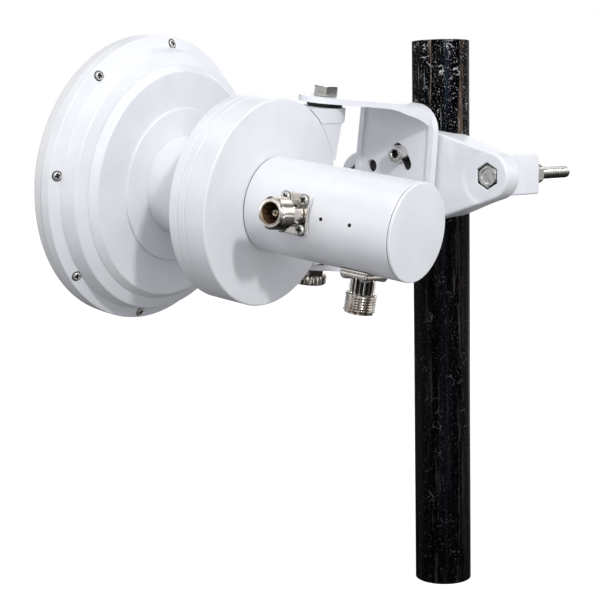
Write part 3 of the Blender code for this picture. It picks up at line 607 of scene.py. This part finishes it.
for label, side in (("front", -1.0), ("rear", 1.0)):
    at = CLAMP @ Matrix.Translation((0.0, side * REACH, 0.0)) @ STAND
    head = skin(hex_head(HEAD_RADIUS, HEAD_BASE, HEAD_TOP, 0.03, dish=0.3))
    stem = skin(screw_thread(M6_RADIUS, M6_PITCH, STUD_END, HEAD_BASE + 0.2, M6_DEPTH))
    build(
        "clamp_hex_bolt_" + label, [head, stem], at, "clamp", [zinc], ["clamp_bolt_" + label],
        sharp=30.0)
    around = whole_turn(96)
    six_sided = hexagon(around, 1.0, 0)
    # A black hexagonal ring that fills the gap between the head and its recess: painted shade.
    painted_shade_ring = ring_grid([
        (5.95 * six_sided, HEAD_BASE), (6.62 * six_sided, HEAD_BASE),
        (6.62 * six_sided, 16.7), (5.95 * six_sided, 16.7)], around)
    build(
        "clamp_recess_black_shade_" + label, [skin(painted_shade_ring, closed=True)], at, "clamp", [nylon],
        sharp=30.0)
    washer_or_shade_disc = softened(
        [(3.3, -18.3), (6.0, -18.3), (6.0, -19.1), (3.3, -19.1)], [0.1, 0.25, 0.25, 0.1], closed=True)
    build(
        "clamp_flat_washer_" + label, [skin(turned(washer_or_shade_disc, 72), closed=True)], at, "clamp", [zinc],
        ["clamp_washer_" + label])
    nut = skin(hex_head(NUT_RADIUS, NUT_LOW, NUT_HIGH, math.pi / 2 + 0.5, lower_too=True))
    build(
        "clamp_hex_nut_" + label, [nut], at, "clamp", [zinc], ["clamp_nut_" + label],
        sharp=30.0)


# Yoke: one piece of 2.8 mm steel with a top and a bottom arm, a raised rim and a slotted web, pressed
# and welded, then powder coated, which leaves its edges soft.
PIVOT = (18.1, -26.890, 207.821)
SWIVEL_AT = (41.5, -5.1, -13.6)
REST_TILT = -8.3
REST_SWIVEL = 5.6
TILT = HOLDER @ Matrix.Translation(PIVOT) @ Matrix.Rotation(math.radians(REST_TILT), 4, "X")
SWIVEL = TILT @ Matrix.Translation(SWIVEL_AT) @ Matrix.Rotation(math.radians(REST_SWIVEL), 4, "Z")


def soft_copy(node, name, finishes, body, width):
    """The CAD solid's own mesh with its doubles merged, its flat faces made whole and its edges
    rounded by a bevel."""
    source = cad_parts[node].data
    points = np.zeros(len(source.vertices) * 3, np.float32)
    source.vertices.foreach_get("co", points)
    corners = np.zeros(len(source.loops), np.int32)
    source.loops.foreach_get("vertex_index", corners)
    mesh = bpy.data.meshes.new(name)
    mesh.from_pydata(points.reshape(-1, 3).tolist(), [], corners.reshape(-1, 3).tolist())
    work = bmesh.new()
    work.from_mesh(mesh)
    bmesh.ops.remove_doubles(work, verts=work.verts, dist=0.000002)
    bmesh.ops.dissolve_limit(work, angle_limit=math.radians(0.6), verts=work.verts, edges=work.edges)
    work.to_mesh(mesh)
    work.free()
    mesh.shade_smooth()
    for material in finishes:
        mesh.materials.append(material)
    item = bpy.data.objects.new(name, mesh)
    scene.collection.objects.link(item)
    bevel = item.modifiers.new("soft_edges", "BEVEL")
    bevel.width = width * MILLIMETRE
    bevel.segments = 3
    bevel.limit_method = "ANGLE"
    bevel.angle_limit = math.radians(38)
    normals = item.modifiers.new("even_faces", "WEIGHTED_NORMAL")
    normals.keep_sharp = False
    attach(item, body)
    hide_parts(node)


soft_copy("yoke", "yoke_pressed_steel", [powder], "yoke", 0.5)


# Tilt screws: zinc-plated M5 socket screws, one in the pivot and one that locks the tilt through the
# arc slot, with a white spacer ring behind each and a thin black disc between it and the web, which
# paints the shade seen through the web's slot and hole. The floor and side of each hex socket are black,
# painted shade.
M5_RADIUS = 2.6
M5_PITCH = 0.8
M5_DEPTH = 0.35


def socket_screw(base, end):
    """A socket head: the socket's side is a hexagon, the head a short cylinder with a rounded rim. The
    socket's floor and side take the black finish, as painted shade.
    """
    angle = whole_turn(96)
    socket = hexagon(angle, 2.25, 0.3)
    head = ring_grid([
        (0.0, base + 2.0), (socket * 0.96, base + 2.4), (socket, base + 4.75), (socket + 0.25, base + 5.0),
        (3.75, base + 5.0), (4.05, base + 4.9), (4.2, base + 4.7), (4.25, base + 4.4),
        (4.25, base + 0.15), (4.1, base), (0.0, base)], angle)
    # The first two bands, the socket's floor and side, take the black finish: painted shade.
    inside = np.repeat([1, 1] + [0] * (len(head) - 3), len(angle))
    stem = screw_thread(M5_RADIUS, M5_PITCH, end, base + 0.2, M5_DEPTH, chamfer=0.6)
    return [skin(head, mark=inside), skin(stem)]


SLOT_RADIUS = 24.3
SLOT_MIDDLE = 47.5
PIVOT_AT = (0.0, PIVOT[1], PIVOT[2])
lean = math.radians(SLOT_MIDDLE + REST_TILT)
LOCK_AT = (0.0, PIVOT[1] + SLOT_RADIUS * math.cos(lean), PIVOT[2] + SLOT_RADIUS * math.sin(lean))
for label, spot, end, ring_radius in (("pivot", PIVOT_AT, 7.8, 8.5), ("lock", LOCK_AT, 13.7, 5.5)):
    at = HOLDER @ Matrix.Translation(spot) @ STAND
    build(
        label + "_socket_screw", socket_screw(22.9, end), at, "clamp", [zinc, nylon],
        [label + "_screw"], sharp=35.0)
    ring = softened(
        [(2.9, 18.4), (ring_radius, 18.4), (ring_radius, 19.8), (2.9, 19.8)], [0.1, 0.3, 0.3, 0.1],
        closed=True)
    build(
        label + "_spacer_ring", [skin(turned(ring, 96), closed=True)], at, "clamp", [powder],
        [label + "_spacer"])
    # A thin black disc behind the web, wider than the spacer: painted shade seen through the web's slot and
    # hole.
    disc = [(2.9, 19.84), (ring_radius + 5.0, 19.84), (ring_radius + 5.0, 20.06), (2.9, 20.06)]
    disc = softened(disc, [0.05] * 4, closed=True)
    build(
        label + "_shade_disc", [skin(turned(disc, 96), closed=True)], at, "clamp", [nylon])


# Swivel bolts: a zinc-plated M6 through the top arm, and a larger nickel-plated M8 with a ribbed round
# foot below its hexagon through the bottom one, each with a black nylon washer. They hold the two white
# lugs on the drum's side. The nickel is a warm mirror, stained in patches of about 4 mm.
nickel = mottled(
    "nickel_plated_brass", {"Scale": 260.0, "Detail": 5.0, "Roughness": 0.65},
    [(0.28, "B4A99D"), (0.40, "D2CBC2"), (0.58, "EAE6E0"), (0.8, "F3F0EB")],
    metallic=1.0, roughness=(0.18, 0.08), bump=0.12)
YOKE_TOP = 57.6
FOOT_RADIUS = 8.7
FOOT_RIBS = 22
RIB_HEIGHT = 0.3
M8_RADIUS = 4.0
M8_PITCH = 1.25
M8_DEPTH = 0.5
corner = math.radians(35.5)
head = skin(hex_head(6.5, YOKE_TOP + 0.3, YOKE_TOP + 5.2, corner, dish=0.1, trim=0.99))
stem = skin(screw_thread(M6_RADIUS, M6_PITCH, 46.6, YOKE_TOP + 0.5, M6_DEPTH))
build(
    "upper_swivel_hex_bolt", [head, stem], SWIVEL, "antenna", [zinc], ["upper_swivel_bolt"],
    sharp=30.0)
turned_over = SWIVEL @ Matrix.Rotation(math.pi, 4, "X")
around = whole_turn(192)
ribs = FOOT_RADIUS - RIB_HEIGHT * np.clip(np.cos(FOOT_RIBS * around) * 2.5, -1, 1)
foot = skin(ring_grid(
    [(0.0, 31.4), (8.3, 31.4), (ribs, 31.9), (ribs, 35.4), (8.2, 36.0), (0.0, 36.0)], around))
head = skin(hex_head(8.2, 28.6, 31.38, -corner, trim=0.98))
stem = skin(screw_thread(M8_RADIUS, M8_PITCH, 18.0, 28.8, M8_DEPTH))
build(
    "lower_swivel_hex_bolt", [head, foot, stem], turned_over, "antenna", [nickel],
    ["lower_swivel_bolt"], sharp=30.0)
for label, bore, rim, low, high in (("upper", 3.3, 8.75, 52.9, 54.5), ("lower", 4.3, 8.0, -25.2, -24.3)):
    ring = softened([(bore, low), (rim, low), (rim, high), (bore, high)], [0.1, 0.3, 0.3, 0.1], closed=True)
    build(
        label + "_nylon_washer", [skin(turned(ring, 96), closed=True)], SWIVEL, "antenna", [nylon],
        [label + "_swivel_washer"])

for node in ("upper_lug", "lower_lug"):
    soft_copy(node, "cast_" + node, [powder], "antenna", 0.7)


# Horn, neck and drum: stepped rings of turned and spun aluminium, powder coated, with a white plastic
# radome screwed to the rim. All are turned about the antenna's own axis, on which z = 0 is the drum's
# back and the radome lies at negative z. They are drawn full size.
DRUM_BACK = (52.7, 11.7, 10.0)
ROLL = -4.7
FULL_SIZE = SWIVEL @ Matrix.Scale(1 / BRACKET_SCALE, 4)
AXIS = FULL_SIZE @ Matrix.Translation(DRUM_BACK) @ Matrix.Rotation(-math.pi / 2, 4, "X")
ROLLED = AXIS @ Matrix.Rotation(math.radians(ROLL), 4, "Z")

# Weatherproof plastic, vacuum formed: a neutral, softer white than the paint, with a faint even grain
# of 0.7 mm and less gloss.
radome_plastic, shader = finish("formed_white_asa_plastic")
where = add(radome_plastic, "ShaderNodeTexCoord").outputs["Object"]
grain = add(radome_plastic, "ShaderNodeTexNoise", {"Vector": where, "Scale": 1400.0, "Detail": 2.0})
cloud = add(radome_plastic, "ShaderNodeTexNoise", {"Vector": where, "Scale": 30.0, "Detail": 4.0})
tone = add(radome_plastic, "ShaderNodeValToRGB", {"Fac": cloud.outputs["Fac"]}, stops=[
    (0.3, linear("DCDCDC")), (0.7, linear("E6E6E6"))])
relief = add(radome_plastic, "ShaderNodeBump", {
    "Height": grain.outputs["Fac"], "Strength": 0.12, "Distance": 0.0001})
radome_plastic.node_tree.links.new(tone.outputs["Color"], shader.inputs["Base Color"])
radome_plastic.node_tree.links.new(relief.outputs[0], shader.inputs["Normal"])
shader.inputs["Roughness"].default_value = 0.48

cover = softened(
    [(0.0, -93.6), (73.4, -93.6), (73.4, -89.15), (76.6, -89.15), (76.6, -93.8), (74.6, -96.1),
     (0.0, -96.1)],
    [0, 0.4, 0.2, 0.4, 1.6, 1.6, 0])
build(
    "formed_radome", [skin(turned(cover, 240))], ROLLED, "antenna", [radome_plastic],
    ["radome"])
rings = (
    ("spun_horn_rim", "horn_rim_flange", 240,
     [(68.6, -80.9), (71.3, -80.9), (76.9, -83.05), (76.9, -88.85), (68.6, -88.85)],
     [0.1, 0.4, 0.7, 0.4, 0.1]),
    ("spun_outer_step", "horn_outer_step", 240,
     [(61.0, -69.3), (63.5, -69.3), (69.5, -72.0), (71.25, -80.88), (68.6, -80.88), (67.2, -73.9),
      (61.0, -71.6)],
     [0.1, 0.8, 1.5, 0.2, 0.1, 0.5, 0.1]),
    ("spun_inner_step", "horn_inner_step", 240,
     [(26.25, -64.9), (60.2, -64.9), (63.45, -69.28), (60.6, -69.28), (58.6, -67.4), (26.25, -67.4)],
     [0.1, 1.1, 0.3, 0.1, 0.5, 0.1]),
    ("neck_collar_ring", "neck_collar", 200,
     [(26.25, -63.4), (41.0, -63.4), (41.0, -64.88), (26.25, -64.88)], [0.1, 0.5, 0.1, 0.1]),
    ("round_waveguide_neck", "waveguide_neck", 160,
     [(22.0, -23.6), (26.2, -23.6), (26.2, -67.1), (22.0, -67.1)], [0.2, 0.3, 0.2, 0.2]),
    ("drum_turned_front_plate", "drum_front_plate", 240,
     [(22.0, -17.73), (53.5, -17.73), (53.5, -23.3), (22.0, -23.3)], [0.1, 0.55, 0.9, 0.2]),
    ("drum_turned_middle_plate", "drum_middle_plate", 240,
     [(22.0, -12.88), (53.5, -12.88), (53.5, -17.67), (22.0, -17.67)], [0.1, 0.55, 0.55, 0.1]),
    ("drum_turned_body", "drum_body", 240,
     [(22.0, 0.0), (53.5, 0.0), (53.5, -12.82), (22.0, -12.82)], [0.2, 1.0, 0.55, 0.1]))
for name, node, steps, corners, radii in rings:
    profile = softened(corners, radii, closed=True)
    build(
        name, [skin(turned(profile, steps), closed=True)], ROLLED, "antenna", [powder],
        [node])

# Rim gasket: black rubber between the radome's edge and the rim.
gasket = softened([(73.6, -89.1), (76.3, -89.1), (76.3, -88.9), (73.6, -88.9)], [0.05] * 4, closed=True)
build(
    "radome_rim_gasket", [skin(turned(gasket, 240), closed=True)], ROLLED, "antenna", [nylon])


# Rim screws: eight cross-recess pan heads on the rim's slope, every 45 degrees, each on a thin black
# washer that paints the shade round its head, and with its cross recess painted black as shade. They are
# of passivated steel, paler, more even and less mirror-like than zinc.
passivated = mottled(
    "passivated_screw_steel", {"Scale": 500.0, "Detail": 3.0}, [(0.3, "BDBCB8"), (0.7, "E2E1DE")],
    metallic=0.6, roughness=0.3)
RIM_SCREWS = 8
RIM_SLOPE = math.radians(21.0)


def pan_head(radius, height, below):
    """A pan head: a low dome whose middle is cut by two crossed slots, as depth over the plan."""
    angle = whole_turn(72)
    plan = np.concatenate((np.linspace(0, 0.84, 17), (0.90, 0.95, 0.985, 1.0)))[:, None] * radius
    x, y = plan * np.cos(angle), plan * np.sin(angle)
    dome = height * np.sqrt(np.maximum(0.0, 1 - (plan / radius) ** 4)) + 0 * angle
    arm = np.clip((0.68 * radius - plan) / (0.10 * radius), 0, 1)
    wide = 0.20 * radius
    slot = np.clip((wide - np.minimum(np.abs(x), np.abs(y))) / (0.3 * wide) + 1, 0, 1)
    z = dome - 0.5 * height * arm * slot
    grid = np.stack((x, y, z), -1)
    low, last = grid[-1:].copy(), grid[-1:].copy()
    low[..., 2] = -below
    last[..., 2] = -below
    last[..., :2] = 0
    return np.concatenate((grid, low, last))


def recess_shade_marks(grid):
    """1, for black, for each cell of a pan head whose inner corners lie in the recess, below the dome,
    else 0: the black is painted shade in the recess.
    """
    plan = np.hypot(grid[..., 0], grid[..., 1])
    radius = plan.max()
    deep = (plan < 0.7 * radius) & (grid[..., 2] < 0.7 * grid[..., 2].max())
    return (deep[:-1] & deep[1:]).astype(int).reshape(-1)


def set_at(grid, matrix):
    """The same points at another place."""
    matrix = np.array(matrix)
    return grid @ matrix[:3, :3].T + matrix[:3, 3]


rim_screws = []
for count in range(RIM_SCREWS):
    turn = Matrix.Rotation(math.radians(360.0 / RIM_SCREWS * count + 0.4), 4, "Z")
    spot = turn @ Matrix.Translation((73.3, 0.0, -81.55))
    lying = Matrix.Rotation(RIM_SLOPE, 4, "Y") @ Matrix.Rotation(0.4 + 0.7 * count, 4, "Z")
    screw = pan_head(2.25, 1.0, 0.8)
    # A thin black disc under the head: painted shade round it.
    washer_or_shade_disc = turned([(0.0, 0.12), (2.7, 0.12), (2.7, -0.6), (0.0, -0.6)], 48)
    rim_screws.append(skin(set_at(screw, spot @ lying), mark=recess_shade_marks(screw)))
    rim_screws.append(skin(set_at(washer_or_shade_disc, spot @ lying), mark=1))
build("rim_pan_screws", rim_screws, ROLLED, "antenna", [passivated, nylon], sharp=50.0)


# Feed housing: a turned aluminium tube with a milled flat for each socket, closed by a plain round cap
# that leaves a fine seam, all in the same powder coat.
HOUSING_RADIUS = 24.4
HOUSING_BORE = 20.0
HOUSING_START = 0.3
HOUSING_END = 85.9
HOUSING_EDGE = 0.4
SEAT = 22.6
SEAT_HALF_LENGTH = 8.7
SIDE_ALONG = 32.6
BOTTOM_ALONG = 61.0

# Rows along the axis: close together at both ends and where a flat starts or stops. Round each row the
# radius is the tube's, less a chamfer at its ends, or the distance to the flat where that is nearer.
along = [HOUSING_START, 0.4, 0.55, 0.8, 1.2]
for middle in (SIDE_ALONG, BOTTOM_ALONG):
    for stop in (middle - SEAT_HALF_LENGTH, middle + SEAT_HALF_LENGTH):
        along += [stop - 0.3, stop - 0.01, stop + 0.01, stop + 0.3]
along += [*np.arange(2.0, 85.0, 1.5), 85.0, 85.4, 85.65, 85.8, HOUSING_END]
along = np.unique(along)[:, None]
around = whole_turn(288)
across, down = np.cos(around), np.sin(around)
from_end = np.minimum(along - HOUSING_START, HOUSING_END - along)
radius = HOUSING_RADIUS - np.maximum(0.0, HOUSING_EDGE - from_end) + 0 * around
on_side = (np.abs(along - SIDE_ALONG) < SEAT_HALF_LENGTH) & (across > 0.5)
on_bottom = (np.abs(along - BOTTOM_ALONG) < SEAT_HALF_LENGTH) & (down > 0.5)
radius = np.where(on_side, np.minimum(radius, SEAT / np.maximum(across, 0.5)), radius)
radius = np.where(on_bottom, np.minimum(radius, SEAT / np.maximum(down, 0.5)), radius)
outside = np.stack((radius * across, radius * down, along + 0 * around), -1)
inside = turned([(HOUSING_BORE, HOUSING_END), (HOUSING_BORE, HOUSING_START)], 288)
housing = np.concatenate((outside, inside))
build(
    "turned_feed_housing", [skin(housing, closed=True)], ROLLED, "antenna", [powder],
    ["feed_housing"], sharp=30.0)
cap = softened(
    [(0.0, 87.8), (HOUSING_RADIUS, 87.8), (HOUSING_RADIUS, 86.2), (19.7, 86.2), (19.7, 79.9), (0.0, 79.9)],
    [0, 0.8, 0.45, 0.1, 0.3, 0])
build(
    "housing_round_cap", [skin(turned(cap, 240))], ROLLED, "antenna", [powder],
    ["housing_end_cap"])

# Black rings in the seams at both ends of the housing, 0.3 mm below its surface, that paint the shade
# in the seams.
for label, low in (("drum", 0.04), ("cap", 85.94)):
    ring = softened(
        [(20.4, low), (24.1, low), (24.1, low + 0.22), (20.4, low + 0.22)], [0.05] * 4, closed=True)
    build(
        "housing_" + label + "_black_shade_ring", [skin(turned(ring, 240), closed=True)], ROLLED, "antenna", [nylon])

# Two blind rivets in the housing's side, in line with the side socket: small dark pins, set flush.
pin = turned(softened(
    [(0.0, 0.10), (0.55, 0.10), (0.95, 0.16), (0.95, -0.4), (0.0, -0.4)], [0, 0.1, 0.05, 0, 0]), 32)
pins = []
for pin_along in (47.9, 64.7):
    spot = Matrix.Rotation(math.radians(0.7), 4, "Z") @ Matrix.Translation((24.33, 0.0, pin_along)) @ STAND
    pins.append(skin(set_at(pin, spot)))
build("housing_rivet_pins", pins, ROLLED, "antenna", [nylon])


# Cable sockets: two nickel-plated coaxial sockets. Each has a four-hole flange on a thin pad, white
# under the side one, held by cross-recess screws on black washers that paint the shade round their
# heads, a threaded barrel, a brown insulator deep in its bore and a gilded centre contact. The bottom
# one's neck is fluted, and the floors of its flutes are painted black as shade.

# Brass inside the barrel: a dull brown that is partly the brass's own colour and partly painted shade,
# as little light reaches it.
bore_brass_painted_shade = mottled(
    "brass_bore_painted_shade", {"Scale": 400.0, "Detail": 3.0}, [(0.3, "5C4532"), (0.7, "A98D6D")],
    metallic=0.8, roughness=0.4)

# Filled resin: matt dark brown with paler flecks of about 1 mm.
resin = mottled(
    "moulded_brown_resin", {"Scale": 900.0, "Detail": 3.0}, [(0.3, "2A1C12"), (0.7, "4C3726")],
    roughness=0.55)

# Gold flash over brass: a pale warm gold, smooth.
gilding = mottled(
    "gilded_brass", {"Scale": 700.0, "Detail": 2.0}, [(0.3, "EBDCC0"), (0.7, "FAF0DC")],
    metallic=0.7, roughness=0.25)

PAD_LOW = 22.9
FLANGE_LOW = 24.3
FLANGE_HIGH = 26.4
SCREW_INSET = 2.75
NECK_START = 27.0
NECK_END = 34.2
THREAD_START = 35.0
THREAD_END = 43.01
THREAD_PITCH = 1.3
THREAD_DEPTH = 0.85
FLUTE_DEPTH = 0.55


def barrel(flutes, notches):
    """The barrel's outside: a neck whose radius ripples round it where it is fluted, a thread whose
    groove climbs one pitch a turn, and a nose whose lip is notched where it has spring fingers."""
    angle = whole_turn(240)
    neck = np.concatenate(([26.7, 26.72], np.linspace(27.2, 34.0, 10)))
    thread = np.arange(THREAD_START, THREAD_END, 0.1)
    nose = np.array([43.1, 43.35, 43.5, 44.1, 44.3, 44.42, 44.5, 44.5])
    height = np.concatenate((neck, [34.4, 34.4, 34.7], thread, nose))
    base = np.concatenate((
        [0.0, 6.4], np.full(10, 6.5), [6.5, 7.4, 7.7], np.full(len(thread), 7.95),
        [7.8, 7.4, 7.1, 7.1, 7.05, 6.9, 6.7, 5.4]))
    on_neck = (height > NECK_START) & (height < NECK_END)
    on_thread = (height >= THREAD_START) & (height <= THREAD_END)
    on_lip = (height > 43.4) & (height < 44.4)
    wave = np.abs((height[:, None] / THREAD_PITCH - angle / (2 * np.pi)) % 1.0 - 0.5) * 2
    fade = np.clip(np.minimum(height - THREAD_START, 43.0 - height) / 0.5, 0, 1)
    ripple = np.clip(np.cos(angle * max(flutes, 1)) * 2.5, -1, 1)
    teeth = np.clip(np.cos(angle * max(notches, 1)) * 3.0 + 1.2, -1, 1)
    radius = base[:, None] + 0 * angle
    radius = radius - (THREAD_DEPTH * on_thread * fade)[:, None] * wave
    if flutes:
        radius = radius + (FLUTE_DEPTH * on_neck)[:, None] * (ripple - 1)
    if notches:
        radius = radius + (FLUTE_DEPTH * on_lip)[:, None] * (teeth - 1)
    return np.stack((radius * np.cos(angle), radius * np.sin(angle), height[:, None] + 0 * angle), -1)


def flute_shade_marks(grid):
    """2, for black, for each cell of a barrel in the floor of a flute on its neck, else 0: the black
    is painted shade in the flutes.
    """
    on_neck = (grid[..., 2] > NECK_START) & (grid[..., 2] < NECK_END)
    low = (np.hypot(grid[..., 0], grid[..., 1]) < 6.0) & on_neck
    return (low[:-1] & low[1:]).astype(int).reshape(-1) * 2


def centre_contact():
    """The centre contact: a slim tube with a rounded mouth, split into four springs near its end."""
    angle = whole_turn(64)
    profile = np.array([
        (0.0, 33.3), (1.5, 33.3), (1.5, 37.6), (1.5, 37.7), (1.6, 40.2), (1.55, 40.45), (1.4, 40.55),
        (1.15, 40.5), (1.0, 40.2), (1.0, 36.0), (0.0, 36.0)])
    outer, height = profile[:, :1], profile[:, 1:]
    from_split = np.abs((angle + np.pi / 4) % (np.pi / 2) - np.pi / 4)
    split = (from_split < 0.16) & (height > 37.65) & (outer > 1.3)
    radius = np.where(split, 1.15, outer + 0 * angle)
    return np.stack((radius * np.cos(angle), radius * np.sin(angle), height + 0 * angle), -1)


SIDE_PORT = ROLLED @ Matrix.Translation((0.0, 0.0, SIDE_ALONG)) @ Matrix.Rotation(math.pi / 2, 4, "Y")
BOTTOM_PORT = ROLLED @ Matrix.Translation((0.0, 0.0, BOTTOM_ALONG)) @ Matrix.Rotation(-math.pi / 2, 4, "X")
for label, port, u, v, flutes, notches in (
        ("side", SIDE_PORT, 8.25, 10.0, 0, 0), ("bottom", BOTTOM_PORT, 10.0, 8.25, 17, 18)):
    outline = softened([(-u, -v), (u, -v), (u, v), (-u, v)], [1.6] * 4, closed=True)
    white = int(label == "side")
    pad = skin(plate(outline * 0.985, PAD_LOW, FLANGE_LOW - 0.02, 0.2), caps=True, mark=white)
    flange = skin(plate(outline, FLANGE_LOW, FLANGE_HIGH, 0.3), caps=True)
    build(
        label + "_socket_flange", [flange, pad], port, "antenna", [nickel, powder],
        [label + "_port_flange"])
    heads = []
    for count, (su, sv) in enumerate(((1, 1), (-1, 1), (-1, -1), (1, -1))):
        corner_at = Matrix.Translation((su * (u - SCREW_INSET), sv * (v - SCREW_INSET), FLANGE_HIGH))
        spot = corner_at @ Matrix.Rotation(0.5 + count, 4, "Z")
        screw = pan_head(2.7, 1.5, 0.4)
        # A thin black disc under each head: painted shade round it.
        washer_or_shade_disc = turned([(0.0, 0.12), (3.0, 0.12), (3.0, 0.0), (0.0, 0.0)], 48)
        heads.append(skin(set_at(screw, spot), mark=recess_shade_marks(screw)))
        heads.append(skin(set_at(washer_or_shade_disc, spot), mark=1))
    build(label + "_socket_screws", heads, port, "antenna", [passivated, nylon], sharp=50.0)
    # The bore's inside takes the dark brown brass, which is partly painted shade.
    bore = turned(
        [(5.4, 44.5), (5.15, 44.3), (4.9, 43.9), (4.9, 43.0), (4.9, 34.0), (4.9, 33.0), (0.0, 33.0)], 240)
    around = whole_turn(240)
    bore[3:6, :, :2] *= 1 - 0.05 * np.clip(np.cos(12 * around) * 3, -1, 1)[:, None]
    outside = barrel(flutes, notches)
    build(
        label + "_socket_barrel", [skin(outside, mark=flute_shade_marks(outside)), skin(bore, mark=1)], port,
        "antenna", [nickel, bore_brass_painted_shade, nylon], [label + "_port_barrel"], sharp=28.0)
    ring = softened([(1.8, 33.3), (4.6, 33.3), (4.6, 35.5), (1.8, 35.5)], [0.1, 0.1, 0.4, 0.2], closed=True)
    build(
        label + "_socket_insulator", [skin(turned(ring, 72), closed=True)], port, "antenna", [resin],
        [label + "_port_insulator"])
    build(
        label + "_socket_contact", [skin(centre_contact())], port, "antenna", [gilding],
        [label + "_port_contact"])
